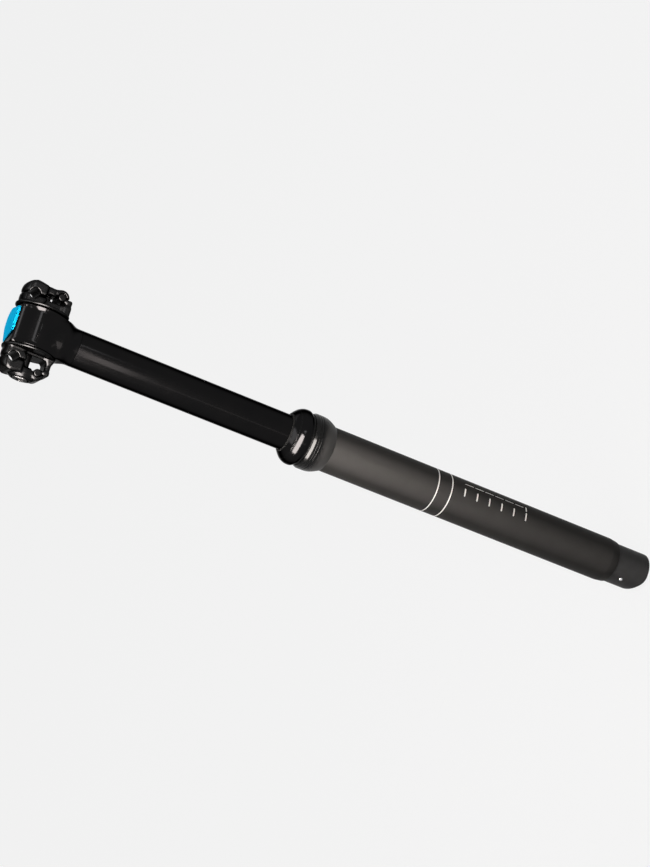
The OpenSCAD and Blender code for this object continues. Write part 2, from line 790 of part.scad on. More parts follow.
// The clamp bolt through both clamps from the left, with a hexagon socket in its head
module clamp_bolt() {
    head_y = bolt_seat + washer_h + bond;
    tip_y = nut_seat + nut_h + tip_past_nut;
    socket_d = 5.8;
    socket_h = 2.6;
    color([0.2, 0.2, 0.21]) translate([0, 0, bolt_z]) rotate([90, 0, 0]) difference() {
        union() {
            translate([0, 0, -tip_y]) cylinder(d = bolt_d, h = tip_y + head_y + past);
            translate([0, 0, head_y]) cylinder(d = bolt_head_d, h = bolt_head_h);
        }
        translate([0, 0, head_y + bolt_head_h - socket_h])
            cylinder(d = socket_d, h = bolt_head_h, $fn = 6);
    }
}

// The washer under the bolt's head
module bolt_washer() {
    color([0.45, 0.45, 0.47]) translate([0, 0, bolt_z]) rotate([90, 0, 0])
        ring(bolt_d / 2 + run, bolt_head_d / 2 + washer_rim, bolt_seat, washer_h);
}

// The round nut in the right outer clamp
module barrel_nut() {
    color([0.45, 0.45, 0.47]) translate([0, 0, bolt_z]) rotate([-90, 0, 0])
        ring(bolt_d / 2 + run, nut_r, nut_seat, nut_h);
}

// The lever under the valve pin: pad, hub and the fork for the cable anchor
module actuator_lever() {
    reach = pivot_off + lever_reach;
    color([0.5, 0.5, 0.52]) rotate([0, 0, cap_turn]) translate([pivot_off, 0, pivot_z]) difference() {
        rotate([90, 0, 0]) linear_extrude(height = lever_w, center = true) union() {
            circle(r = hub_r);
            translate([anchor_arm, 0]) circle(r = hub_r);
            translate([0, -hub_r]) square([anchor_arm, 2 * hub_r]);
            polygon([[-reach, hub_r], [-reach, hub_r / 2], [0, -hub_r / 2], [0, hub_r]]);
        }
        cross_bar(pivot_d / 2 + run, lever_w);
        translate([anchor_arm, 0, 0]) cross_bar(barrel_r + bond, lever_w);
        translate([anchor_arm, 0, -2 * hub_r]) cylinder(d = cable_slot_d, h = 2 * hub_r);
    }
}

// The barrel that holds the cable's end, cross-drilled for the cable
module cable_barrel() {
    half = lever_w / 2;
    color([0.7, 0.58, 0.28]) rotate([0, 0, cap_turn]) translate([pivot_off + anchor_arm, 0, pivot_z])
        difference() {
            cross_bar(barrel_r, half);
            translate([0, 0, -2 * barrel_r]) cylinder(d = cable_hole_d, h = 4 * barrel_r);
            translate([0, half, 0]) cross_bar(grub_r + bond, half - grub_floor);
        }
}

// The grub screw that grips the cable in the barrel
module barrel_grub_screw() {
    half = lever_w / 2;
    length = half - grub_floor - grub_gap;
    color([0.3, 0.3, 0.32]) rotate([0, 0, cap_turn])
        translate([pivot_off + anchor_arm, half - length / 2, pivot_z]) cross_bar(grub_r, length / 2);
}

// The pin in the rod that opens the cartridge's valve
module valve_pin() {
    r = valve_pin_d / 2;
    low = pivot_z + hub_r + free + r;
    color([0.8, 0.8, 0.82]) union() {
        translate([0, 0, low]) cylinder(r = r, h = rod_top - valve_gap - low);
        translate([0, 0, low]) sphere(r = r);
    }
}

outer_tube();
collar_sleeve();
seal_head();
wiper_seal();
foam_ring();
upper_bushing();
bushing_circlip();
top_out_bumper();
actuator_housing();
lever_pivot_pin();
piston_rod();
rod_lock_nut();
piston();
piston_seal();
piston_nut();
stanchion();
forged_head();
head_cover();
cartridge_cylinder();
cartridge_retainer();
rod_gland();
rod_seal();
gas_plug();
gas_plug_oring();
guide_keys();
lower_bushing();
floating_piston();
floating_piston_oring();
inner_clamp_left();
inner_clamp_right();
outer_clamp_left();
outer_clamp_right();
clamp_bolt();
bolt_washer();
barrel_nut();
actuator_lever();
cable_barrel();
barrel_grub_screw();
valve_pin();
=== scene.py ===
"""Looks of a dropper seatpost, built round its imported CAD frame. Metres, Z up along the post."""

import itertools
import json
import math

import bpy
import numpy as np
from mathutils import Matrix, Vector


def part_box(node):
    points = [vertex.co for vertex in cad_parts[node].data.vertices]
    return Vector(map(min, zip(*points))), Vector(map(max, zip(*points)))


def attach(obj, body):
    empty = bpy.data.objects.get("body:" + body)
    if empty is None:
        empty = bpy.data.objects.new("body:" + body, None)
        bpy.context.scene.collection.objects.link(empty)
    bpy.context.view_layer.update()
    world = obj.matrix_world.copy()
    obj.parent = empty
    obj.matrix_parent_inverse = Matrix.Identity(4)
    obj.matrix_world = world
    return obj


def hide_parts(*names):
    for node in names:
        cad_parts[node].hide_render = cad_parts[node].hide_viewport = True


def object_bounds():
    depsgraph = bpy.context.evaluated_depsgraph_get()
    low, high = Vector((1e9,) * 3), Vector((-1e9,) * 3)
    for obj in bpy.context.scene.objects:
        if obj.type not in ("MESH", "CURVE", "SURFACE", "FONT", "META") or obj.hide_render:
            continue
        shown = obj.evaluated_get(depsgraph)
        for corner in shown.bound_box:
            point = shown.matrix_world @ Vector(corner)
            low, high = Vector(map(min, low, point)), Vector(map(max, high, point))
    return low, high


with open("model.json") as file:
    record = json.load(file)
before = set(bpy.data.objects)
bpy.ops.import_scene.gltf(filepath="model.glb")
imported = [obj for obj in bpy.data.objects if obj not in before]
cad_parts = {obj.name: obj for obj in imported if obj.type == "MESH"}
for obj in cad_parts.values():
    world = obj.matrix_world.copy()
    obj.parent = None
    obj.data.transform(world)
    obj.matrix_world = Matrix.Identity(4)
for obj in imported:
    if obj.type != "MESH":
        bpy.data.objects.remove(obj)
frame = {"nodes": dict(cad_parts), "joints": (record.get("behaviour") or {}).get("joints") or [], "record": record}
cad_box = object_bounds()

MM = 0.001

# Camera, fitted to both tubes, the two rings and the scale marks
CAMERA_PLACE = Vector((1.2842, -0.3587, 0.4976))
CAMERA_TARGET = Vector((-0.0170, 0.0145, -0.0032))
CAMERA_ROLL = math.radians(-68.09)
CAMERA_LENS_MM = 86.9
SENSOR_MM = 36.0


def make_camera():
    """Place the camera on its target and roll it as the photograph is rolled."""
    data = bpy.data.cameras.new("camera")
    data.lens = CAMERA_LENS_MM
    data.sensor_width = SENSOR_MM
    camera = bpy.data.objects.new("camera", data)
    bpy.context.scene.collection.objects.link(camera)
    forward = (CAMERA_TARGET - CAMERA_PLACE).normalized()
    level = forward.cross(Vector((0, 0, 1))).normalized()
    above = level.cross(forward)
    right = level * math.cos(CAMERA_ROLL) + above * math.sin(CAMERA_ROLL)
    up = above * math.cos(CAMERA_ROLL) - level * math.sin(CAMERA_ROLL)
    turn = Matrix((right, up, -forward)).transposed()
    camera.matrix_world = Matrix.Translation(CAMERA_PLACE) @ turn.to_4x4()
    bpy.context.scene.camera = camera


make_camera()

# Shader helpers


def put(tree, kind, inputs=None, **settings):
    """Add a shader node; inputs are values or sockets to link."""
    node = tree.nodes.new(kind)
    for key, value in settings.items():
        setattr(node, key, value)
    for key, value in (inputs or {}).items():
        if isinstance(value, bpy.types.NodeSocket):
            tree.links.new(value, node.inputs[key])
        else:
            node.inputs[key].default_value = value
    return node


def linear(grey):
    """A neutral colour with full alpha."""
    return (grey, grey, grey, 1.0)


# Light and floor
PALE = linear(0.896)
FLOOR_GAP = 0.002
FLOOR_SIZE = 80.0
FLOOR_SHADOW = 0.08
FLOOR_GREY = 0.4
FLOOR_GLOW = linear(0.945)
AMBIENT = 0.12
WHITE = (1.0, 1.0, 1.0)
WARM = (1.0, 0.93, 0.88)


def link_seen(tree, seen, unseen, output):
    """Give camera, glossy and transmission rays one shader and light rays another."""
    path = put(tree, "ShaderNodeLightPath").outputs
    either = put(tree, "ShaderNodeMath", {0: path["Is Camera Ray"], 1: path["Is Glossy Ray"]},
                 operation="MAXIMUM")
    any_of = put(tree, "ShaderNodeMath", {0: either.outputs[0], 1: path["Is Transmission Ray"]},
                 operation="MAXIMUM")
    mix = put(tree, "ShaderNodeMixShader", {0: any_of.outputs[0], 1: unseen, 2: seen})
    tree.links.new(mix.outputs[0], output)


def make_world():
    """Pale backdrop that lights the object softly."""
    world = bpy.data.worlds.new("studio")
    bpy.context.scene.world = world
    world.use_nodes = True
    tree = world.node_tree
    tree.nodes.clear()
    seen = put(tree, "ShaderNodeBackground", {"Color": PALE, "Strength": 1.0})
    unseen = put(tree, "ShaderNodeBackground", {"Color": PALE, "Strength": AMBIENT})
    out = put(tree, "ShaderNodeOutputWorld")
    link_seen(tree, seen.outputs[0], unseen.outputs[0], out.inputs["Surface"])


def make_floor():
    """Pale floor under the post that keeps a soft shadow."""
    low = cad_box[0]
    bpy.ops.mesh.primitive_plane_add(size=FLOOR_SIZE, location=(0, 0, low[2] - FLOOR_GAP))
    floor = bpy.context.object
    floor.name = "floor"
    made = bpy.data.materials.new("floor")
    made.use_nodes = True
    tree = made.node_tree
    tree.nodes.clear()
    glow = put(tree, "ShaderNodeEmission", {"Color": FLOOR_GLOW, "Strength": 1.0})
    matt = put(tree, "ShaderNodeBsdfDiffuse", {"Color": linear(FLOOR_GREY)})
    blend = put(tree, "ShaderNodeMixShader", {0: FLOOR_SHADOW, 1: glow.outputs[0], 2: matt.outputs[0]})
    out = put(tree, "ShaderNodeOutputMaterial")
    link_seen(tree, blend.outputs[0], matt.outputs[0], out.inputs["Surface"])
    floor.data.materials.append(made)


def make_lamp(name, place, aim, size, watts, tint=WHITE, mirrored_only=False, unmirrored=False):
    """One soft area lamp at a place, aimed at a point. Some show only in gloss, some never in it."""
    data = bpy.data.lights.new(name, "AREA")
    data.shape = "RECTANGLE"
    data.size, data.size_y = size
    data.energy = watts
    data.color = tint
    lamp = bpy.data.objects.new(name, data)
    bpy.context.scene.collection.objects.link(lamp)
    direction = Vector(aim) - Vector(place)
    lamp.rotation_euler = direction.to_track_quat("-Z", "Y").to_euler()
    lamp.location = place
    lamp.visible_camera = False
    lamp.visible_diffuse = not mirrored_only
    lamp.visible_glossy = not unmirrored


make_world()
make_floor()
# A light near the tube's middle that falls off along it, and two broad ones
make_lamp("key", (0.215, -0.13, 0.14), (0, 0, 0.03), (0.2, 0.05), 2.0, WARM, unmirrored=True)
make_lamp("top", (0.1, -0.1, 1.6), (0, 0, 0), (1.0, 1.0), 14)
make_lamp("back", (-0.9, 1.0, 1.2), (0, 0, 0), (1.0, 1.0), 5)
# Bright shapes that show only where the gloss mirrors them
FAR_PLACE, FAR_AIM = (0.96, 0.275, 0.28), (0, 0, 0.21)
make_lamp("panel", (0.55, -0.50, 0.46), (0, 0, 0.1), (1.4, 0.56), 165, WARM, mirrored_only=True)
make_lamp("line", FAR_PLACE, FAR_AIM, (0.14, 0.014), 0.28, mirrored_only=True)
make_lamp("streak", FAR_PLACE, FAR_AIM, (0.09, 0.4), 0.8, mirrored_only=True)
make_lamp("strip", (0.474, -0.278, -0.06), (0, 0, 0.08), (0.03, 0.24), 0.05, WARM, mirrored_only=True)
make_lamp("glint", (0.474, -0.278, 0.11), (0, 0, 0.18), (0.30, 0.05), 0.4, WARM, mirrored_only=True)

# Finishes
# Length of one band of the wave texture at scale 1
WAVE_BAND = 0.314
WAVE_DETAIL = 2.0
LINE_WOBBLE = 0.6
GRAIN_DETAIL = 2.0
# Size of the gloss's patches as a share of the colour's
GLOSS_SHARE = 0.4
GLOSS_DETAIL = 5.0
# Facing from which the painted rim shade is full, where a surface turns away from the viewer
RIM_SHADE_FULL = 0.32
RIM_SHADE_BLEND = 0.5
# Lighter edges: worn metal on some finishes, a painted highlight along the rims on others
EDGE_REACH_MM = 0.5
EDGE_START, EDGE_FULL = 0.97, 0.75
EDGE_PATCH_MM = 0.9
EDGE_DETAIL = 4.0
BEVEL_SAMPLES = 4


def spread(tree, source, low, high, start=0.0, end=1.0):
    """Stretch a signal that runs from start to end between two values."""
    values = {"Value": source, "From Min": start, "From Max": end, "To Min": low, "To Max": high}
    return put(tree, "ShaderNodeMapRange", values).outputs["Result"]


def blended(tree, share, one, other, kind="RGBA"):
    """Mix two values, each a plain value or a socket."""
    values = {"Factor": share, "A": one, "B": other}
    return put(tree, "ShaderNodeMix", values, data_type=kind).outputs["Result"]


def noise(tree, place, size_mm, detail=3.0):
    """Noise whose features are about the given size."""
    values = {"Vector": place, "Scale": 1 / (size_mm * MM), "Detail": detail}
    return put(tree, "ShaderNodeTexNoise", values).outputs["Fac"]


def rings(tree, place, pitch_mm, direction):
    """Fine tool lines: bands a pitch apart along one direction."""
    values = {"Vector": place, "Scale": WAVE_BAND / (pitch_mm * MM), "Distortion": LINE_WOBBLE,
              "Detail": WAVE_DETAIL}
    node = put(tree, "ShaderNodeTexWave", values, wave_type="BANDS", bands_direction=direction)
    return node.outputs["Fac"]


def edge_mask(tree):
    """A mask that is 1 along sharp outer edges and 0 on plain faces."""
    soft = put(tree, "ShaderNodeBevel", {"Radius": EDGE_REACH_MM * MM}, samples=BEVEL_SAMPLES)
    true = put(tree, "ShaderNodeNewGeometry")
    facing = put(tree, "ShaderNodeVectorMath", {0: soft.outputs[0], 1: true.outputs["Normal"]},
                 operation="DOT_PRODUCT")
    return spread(tree, facing.outputs["Value"], 0.0, 1.0, EDGE_START, EDGE_FULL)


def bumped(tree, signal, height_mm, normal=None):
    """Normals of a surface raised by a signal, on top of other normals if there are any."""
    values = {"Height": signal, "Strength": 1.0, "Distance": height_mm * MM}
    if normal:
        values["Normal"] = normal
    return put(tree, "ShaderNodeBump", values).outputs["Normal"]


def finish(name, dark, light, rough, mottle_mm=6.0, grain=None, lines=None, edge_wear_and_sheen=None, painted_rim_shade=None,
           foot=None, **shader_values):
    """A procedural finish: mottled colour, uneven gloss, grain, tool lines, lighter edges, and painted shade where
    it turns away.

    dark and light are linear colours, rough a pair of roughnesses, grain (size_mm, height_mm),
    lines (pitch_mm, direction, height_mm), the lighter edges (colour, amount), which are wear on some
    finishes and a painted highlight on others, the painted rim shade as the share of the colour that is
    left where the surface turns away from the viewer, and foot (low_mm, high_mm, colour, roughness)
    another finish below those heights.
    """
    made = bpy.data.materials.new(name)
    made.use_nodes = True
    tree = made.node_tree
    shader = tree.nodes["Principled BSDF"]
    place = put(tree, "ShaderNodeTexCoord").outputs["Object"]
    color = blended(tree, noise(tree, place, mottle_mm), (*dark, 1.0), (*light, 1.0))
    gloss = spread(tree, noise(tree, place, mottle_mm * GLOSS_SHARE, GLOSS_DETAIL), *rough)
    if foot:
        low_mm, high_mm, foot_color, foot_rough = foot
        height = put(tree, "ShaderNodeSeparateXYZ", {0: place}).outputs["Z"]
        above = spread(tree, height, 0.0, 1.0, low_mm * MM, high_mm * MM)
        color = blended(tree, above, (*foot_color, 1.0), color)
        gloss = blended(tree, above, foot_rough, gloss, "FLOAT")
    # Painted shade: the colour darkens where the surface turns away from the viewer, as if the light fell off
    # there
    if painted_rim_shade:
        facing = put(tree, "ShaderNodeLayerWeight", {"Blend": RIM_SHADE_BLEND}).outputs["Facing"]
        left = spread(tree, facing, 1.0, painted_rim_shade, 0.0, RIM_SHADE_FULL)
        rim_shaded = put(tree, "ShaderNodeVectorMath", {0: color, "Scale": left}, operation="SCALE")
        color = rim_shaded.outputs["Vector"]
    # Lighter edges: bare metal where a finish is worn, a painted highlight along the rims of the cover and partly
    # of the clamps
    if edge_wear_and_sheen:
        edge_color, amount = edge_wear_and_sheen
        # Noise averages a half, so the patches average the amount
        patchy = spread(tree, noise(tree, place, EDGE_PATCH_MM, EDGE_DETAIL), 0.0, 2.0 * amount)
        edge_share = put(tree, "ShaderNodeMath", {0: edge_mask(tree), 1: patchy}, operation="MULTIPLY",
                   use_clamp=True)
        color = blended(tree, edge_share.outputs[0], color, (*edge_color, 1.0))
    normal = None
    if grain:
        size_mm, height_mm = grain
        normal = bumped(tree, noise(tree, place, size_mm, GRAIN_DETAIL), height_mm)
    if lines:
        pitch_mm, direction, height_mm = lines
        normal = bumped(tree, rings(tree, place, pitch_mm, direction), height_mm, normal)
    tree.links.new(color, shader.inputs["Base Color"])
    tree.links.new(gloss, shader.inputs["Roughness"])
    if normal:
        tree.links.new(normal, shader.inputs["Normal"])
    for key, value in shader_values.items():
        shader.inputs[key.replace("_", " ")].default_value = value
    return made


BARE = (0.30, 0.30, 0.31)
EDGE_DULL = (0.42, 0.42, 0.42, 1.0)
FINISHES = {
    "gloss_black": finish("gloss_black", (0.0085, 0.0085, 0.009), (0.0115, 0.011, 0.011), (0.10, 0.16),
                          mottle_mm=14.0, lines=(0.12, "Z", 0.0003), edge_wear_and_sheen=((0.06, 0.06, 0.06), 0.4),
                          Metallic=1.0, Specular_Tint=EDGE_DULL),
    # The tube, the collar and the cap get painted shade where they turn away from the viewer
    "tube_satin": finish("tube_satin", (0.048, 0.0465, 0.045), (0.057, 0.0555, 0.054), (0.42, 0.52),
                         mottle_mm=9.0, grain=(0.16, 0.012), edge_wear_and_sheen=(BARE, 0.3), painted_rim_shade=0.4,
                         Specular_IOR_Level=0.03),
    "collar_black": finish("collar_black", (0.003, 0.003, 0.003), (0.005, 0.005, 0.005), (0.16, 0.24),
                           lines=(0.25, "Z", 0.001), painted_rim_shade=0.5,
                           foot=(6.0, 10.5, (0.05, 0.049, 0.048), 0.45), Specular_IOR_Level=0.12),
    # Its lighter grey edges are partly wear and partly a painted highlight along the rims
    "clamp_black": finish("clamp_black", (0.008, 0.008, 0.0084), (0.013, 0.013, 0.013), (0.2, 0.3),
                          mottle_mm=4.0, grain=(0.35, 0.004), edge_wear_and_sheen=((0.22, 0.22, 0.22), 0.6),
                          Metallic=1.0, Specular_Tint=EDGE_DULL),
    "cap_black": finish("cap_black", (0.045, 0.0455, 0.047), (0.060, 0.0605, 0.062), (0.42, 0.54),
                        mottle_mm=5.0, grain=(0.22, 0.01), edge_wear_and_sheen=(BARE, 0.25), painted_rim_shade=0.6,
                        Specular_IOR_Level=0.06),
    # Its lighter cyan edges are a painted highlight along the rims
    "cyan_cover": finish("cyan_cover", (0.004, 0.40, 0.72), (0.008, 0.47, 0.80), (0.3, 0.4),
                         mottle_mm=5.0, lines=(0.18, "X", 0.0008), edge_wear_and_sheen=((0.10, 0.62, 0.85), 0.8),
                         Specular_IOR_Level=0.0),
    "steel": finish("steel", (0.52, 0.52, 0.54), (0.62, 0.62, 0.64), (0.18, 0.3), mottle_mm=3.0,
                    lines=(0.15, "Z", 0.001), Metallic=1.0),
    "black_steel": finish("black_steel", (0.02, 0.02, 0.0205), (0.04, 0.04, 0.04), (0.26, 0.38),
                          mottle_mm=2.0, grain=(0.3, 0.004), edge_wear_and_sheen=(BARE, 0.6),
                          Metallic=1.0, Specular_Tint=EDGE_DULL),
    "raw_alloy": finish("raw_alloy", (0.58, 0.58, 0.6), (0.68, 0.68, 0.7), (0.26, 0.38), mottle_mm=4.0,
                        lines=(0.2, "Z", 0.0016), Metallic=1.0),
    "brass": finish("brass", (0.60, 0.40, 0.14), (0.72, 0.52, 0.22), (0.24, 0.36), mottle_mm=3.0,
                    lines=(0.2, "Z", 0.0014), Metallic=1.0),
    "seal_rubber": finish("seal_rubber", (0.006, 0.006, 0.006), (0.010, 0.010, 0.010), (0.5, 0.65),
                          mottle_mm=2.0, grain=(0.25, 0.01), Specular_IOR_Level=0.02),
    "foam": finish("foam", (0.06, 0.058, 0.045), (0.14, 0.13, 0.10), (0.8, 0.95), mottle_mm=0.8,
                   grain=(0.5, 0.15), Specular_IOR_Level=0.2),
    "bushing": finish("bushing", (0.20, 0.15, 0.09), (0.27, 0.21, 0.13), (0.4, 0.5), mottle_mm=3.0,
                      grain=(0.2, 0.006), lines=(0.3, "Z", 0.002)),
}
SOFT_GLOSS = finish("soft_gloss", (0.0075, 0.0075, 0.008), (0.0105, 0.010, 0.010), (0.14, 0.18),
                    mottle_mm=14.0, lines=(0.12, "Z", 0.0003), Metallic=1.0, Specular_Tint=EDGE_DULL)
PRINT = finish("white_print", (0.62, 0.62, 0.60), (0.78, 0.78, 0.76), (0.45, 0.55), mottle_mm=0.7,
               grain=(0.16, 0.01), Specular_IOR_Level=0.3)

NODE_SLOT = {part["node"]: part["material_slot"] for part in frame["record"]["subparts"]}
BODY_NODES = frame["record"]["behaviour"]["bodies"]
NODE_BODY = {node: body for body, nodes in BODY_NODES.items() for node in nodes}
for node_name, node_object in frame["nodes"].items():
    node_object.data.materials.clear()
    node_object.data.materials.append(FINISHES[NODE_SLOT[node_name]])

# Meshes from grids of points


def add_piece(name, points_mm, faces, body, slot, normals=None, sharp_deg=None):
    """Make a mesh piece from points in millimetres, in its finish, riding on a body."""
    mesh = bpy.data.meshes.new(name)
    faces = faces if isinstance(faces, list) else faces.tolist()
    mesh.from_pydata((np.asarray(points_mm) * MM).tolist(), [], faces)
    mesh.polygons.foreach_set("use_smooth", [True] * len(mesh.polygons))
    if sharp_deg:
        mesh.set_sharp_from_angle(angle=math.radians(sharp_deg))
    if normals is not None:
        mesh.normals_split_custom_set_from_vertices(np.asarray(normals).tolist())
    mesh.materials.append(FINISHES.get(slot, PRINT))
    piece = bpy.data.objects.new(name, mesh)
    bpy.context.scene.collection.objects.link(piece)
    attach(piece, body)
    return piece


def stand_for(node, points_mm, faces, normals=None, sharp_deg=None):
    """Make a detailed piece that stands for a CAD node, on the node's body and in its finish."""
    body, slot = NODE_BODY[node], NODE_SLOT[node]
    piece = add_piece(node + "_shape", points_mm, faces, body, slot, normals, sharp_deg)
    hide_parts(node)
    return piece


def grid_faces(rows, columns, close_rows=False):
    """Quads of a grid of points whose columns close on themselves, and its rows too if asked."""
    row = np.arange(rows if close_rows else rows - 1)
    column = np.arange(columns)
    a, b = np.meshgrid(row, column, indexing="ij")
    next_b = (b + 1) % columns
    here, there = a * columns, (a + 1) % rows * columns
    quads = np.stack([here + b, here + next_b, there + next_b, there + b], -1)
    return quads.reshape(-1, 4)


# The most that a rounding takes of a side beside its corner
SIDE_SHARE = 0.48
FLAT_TURN = 1e-6
SHORT_ARC = 1e-4
ON_AXIS = 1e-6


def rounded(corners, steps=5):
    """Round the corners (r, z, radius) of a closed profile that runs anticlockwise in (r, z).

    Returns the profile's points and its outward normals. Corners on the axis (r = 0) are left out.
    """
    points, normals = [], []
    count = len(corners)
    spots = np.array([corner[:2] for corner in corners], float)
    for i in range(count):
        here = spots[i]
        back = spots[i - 1] - here
        ahead = spots[(i + 1) % count] - here
        back_len, ahead_len = np.linalg.norm(back), np.linalg.norm(ahead)
        back, ahead = back / back_len, ahead / ahead_len
        turn = math.pi - math.acos(np.clip(back @ ahead, -1, 1))
        half = math.tan(turn / 2)
        radius = corners[i][2]
        if half > FLAT_TURN:
            radius = min(radius, SIDE_SHARE * min(back_len, ahead_len) / half)
        left = -back[0] * ahead[1] + back[1] * ahead[0] > 0
        side = np.array([back[1], -back[0]]) if left else np.array([-back[1], back[0]])
        centre = here + back * radius * half + side * radius
        start = -side
        plain = radius * turn < SHORT_ARC
        for k in [0.5 * steps] if plain else range(steps + 1):
            angle = turn * k / steps * (1 if left else -1)
            arm = np.array([start[0] * math.cos(angle) - start[1] * math.sin(angle),
                            start[0] * math.sin(angle) + start[1] * math.cos(angle)])
            points.append(centre + arm * radius)
            normals.append(arm if left else -arm)
    points, normals = np.array(points), np.array(normals)
    off_axis = points[:, 0] > ON_AXIS
    return points[off_axis], normals[off_axis]


def turned(corners, segments=192, steps=5, reshape=None):
    """Turn a closed profile of corners (r, z, radius) about Z.

    A profile whose first corner lies on the axis makes a solid piece, closed by a face at each end.
    reshape(radius, z, angle) may change the radius of any point, and then the normals are left out.
    """
    profile, out = rounded(corners, steps)
    angle = np.arange(segments) * 2 * math.pi / segments
    radius = np.repeat(profile[:, :1], segments, axis=1)
    if reshape:
        radius = reshape(radius, profile[:, 1:], angle)
    points = np.stack([radius * np.cos(angle), radius * np.sin(angle),
                       np.repeat(profile[:, 1:], segments, axis=1)], -1).reshape(-1, 3)
    normals = np.stack([out[:, :1] * np.cos(angle), out[:, :1] * np.sin(angle),
                        np.repeat(out[:, 1:], segments, axis=1)], -1).reshape(-1, 3)
    solid = corners[0][0] == 0
    faces = grid_faces(len(profile), segments, close_rows=not solid).tolist()
    if solid:
        ring = list(range(segments))
        faces += [ring[::-1], [i + len(points) - segments for i in ring]]
    return points, faces, None if reshape else normals


def placed(surface, columns, origin):
    """Move a surface into a frame given by its three axes and its origin."""
    points, faces, normals = surface
    turn = np.array(columns, float)
    return points @ turn + np.array(origin, float), faces, None if normals is None else normals @ turn


def mm_box(node):
    """A node's lowest and highest corners in millimetres."""
    low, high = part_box(node)
    return low / MM, high / MM


# The turned pieces of the lower post
# Roundings: a crisp corner, an eased one, and one that runs into its neighbours as a smooth curve
CRISP, EASED, FAIR = 0.1, 0.2, 8.0
TURNED_SHARP = 35
STANCHION_R = mm_box("stanchion")[1].x
STANCHION_WALL = 2.0
TUBE_R = mm_box("outer_tube")[1].x
TUBE_END = mm_box("outer_tube")[0].z
TUBE_TOP = mm_box("outer_tube")[1].z
TUBE_WALL = 2.3
TUBE_STEP = 0.4
TUBE_TAPER_H = 6.0
TUBE_TAPER_IN = 0.8
BORE_NEAR = 0.3
KEY_COUNT = 3
KEY_GROOVE_W = 2.52
KEY_GROOVE_DEPTH = 0.8
KEY_SEAT = 0.6
POCKET_END = 0.1
SEAL_WALL = 2.3
SPIGOT_WALL = 2.5
SPIGOT_R = mm_box("seal_head")[1].x - SEAL_WALL
SPIGOT_BORE_R = SPIGOT_R - SPIGOT_WALL
SEAL_MOUTH_GAP = 1.2
SEAL_MOUTH_R = STANCHION_R + SEAL_MOUTH_GAP
SEAL_LIP_H = 2.2
SEAL_SPIGOT_H = 6.2
SEAL_ROUND_H = 9.2
SEAL_ROUND_IN = 6.0
SEAL_ROUND_POWER = 2.2
SEAL_LINE_AT = 0.62
SEAL_LINE_W = 0.4
SEAL_LINE_IN = 0.22
SEAL_LINE_EDGE = 0.12
RIM_BELOW, RIM_ABOVE = 6, 3
COLLAR_FOOT_H = 10.0
COLLAR_FOOT_OUT = 0.4
COLLAR_FOOT_STEPS = 8
COLLAR_FOOT_FAIR = 9.0
COLLAR_RING_TOP = 17.0
COLLAR_LINES = (11.4, 13.3)
COLLAR_LINE_W = 0.5
COLLAR_LINE_IN = 0.35
COLLAR_LINE_EDGE = 0.12
COLLAR_LIP_GAP = 1.0
COLLAR_LIP_H = 2.0
WIPER_LIP_W = 0.4
RING_EDGE = 1.0
RING_EDGE_H = 2.0
BOND = 0.05
RUN = 0.06


def from_key(angle):
    """Angle to the nearest of the keys, which lie evenly round the post from +Y on."""
    pitch = 2 * math.pi / KEY_COUNT
    return (angle - math.pi / 2 + pitch / 2) % pitch - pitch / 2


def make_tube():
    """The lower tube with its turned-down top, tapered foot and three key grooves."""
    bore_r = TUBE_R - TUBE_WALL
    step_r = TUBE_R - TUBE_STEP

    def cut_keys(radius, z, angle):
        """Sink the keys' grooves into the bore."""
        in_bore = np.abs(radius - bore_r) < BORE_NEAR
        in_key = np.abs(from_key(angle)) < KEY_GROOVE_W / 2 / bore_r
        return np.where(in_bore & in_key, radius + KEY_GROOVE_DEPTH, radius)

    surface = turned([
        (bore_r, TUBE_END, EASED), (TUBE_R - TUBE_TAPER_IN, TUBE_END, 0.5),
        (TUBE_R, TUBE_END + TUBE_TAPER_H, FAIR), (TUBE_R, 0, CRISP), (step_r, 0, CRISP),
        (step_r, TUBE_TOP, CRISP), (bore_r, TUBE_TOP, CRISP)], reshape=cut_keys)
    stand_for("outer_tube", *surface, sharp_deg=TURNED_SHARP)


def make_seal_head():
    """The glossy screw-on head, rounded towards its mouth, with a thin turned line round it."""
    low, high = mm_box("seal_head")
    r = high.x
    round_z = high.z - SEAL_ROUND_H

    def rim(t, sunk=0.0, radius=FAIR):
        """A corner of the rounded rim, with t from 0 at its foot to 1 at the mouth."""
        inward = sunk / math.sqrt(2)
        rim_r = r - SEAL_ROUND_IN * t ** SEAL_ROUND_POWER
        return (rim_r - inward, round_z + SEAL_ROUND_H * t - inward, radius)

    start, end = SEAL_LINE_AT, SEAL_LINE_AT + SEAL_LINE_W / SEAL_ROUND_H
    line = [rim(start, 0, SEAL_LINE_EDGE), rim(start, SEAL_LINE_IN, SEAL_LINE_EDGE),
            rim(end, SEAL_LINE_IN, SEAL_LINE_EDGE), rim(end, 0, SEAL_LINE_EDGE)]
    below = [rim(t) for t in np.linspace(0, start, RIM_BELOW + 1)[:-1]]
    above = [rim(t) for t in np.linspace(end, 1, RIM_ABOVE + 2)[1:-1]]
    bore_r = SPIGOT_R + BOND
    spigot_top = low.z + SEAL_SPIGOT_H + BOND
    lip_low = high.z - SEAL_LIP_H
    stand_for("seal_head", *turned([
        (bore_r, low.z, EASED), (r - RING_EDGE, low.z, 0.5), (r, low.z + RING_EDGE_H, 2.5),
        *below, *line, *above, (r - SEAL_ROUND_IN, high.z, 0.5), (SEAL_MOUTH_R, high.z, 0.4),
        (SEAL_MOUTH_R, lip_low, CRISP), (SPIGOT_BORE_R, lip_low, CRISP),
        (SPIGOT_BORE_R, spigot_top, CRISP), (bore_r, spigot_top, CRISP)]))


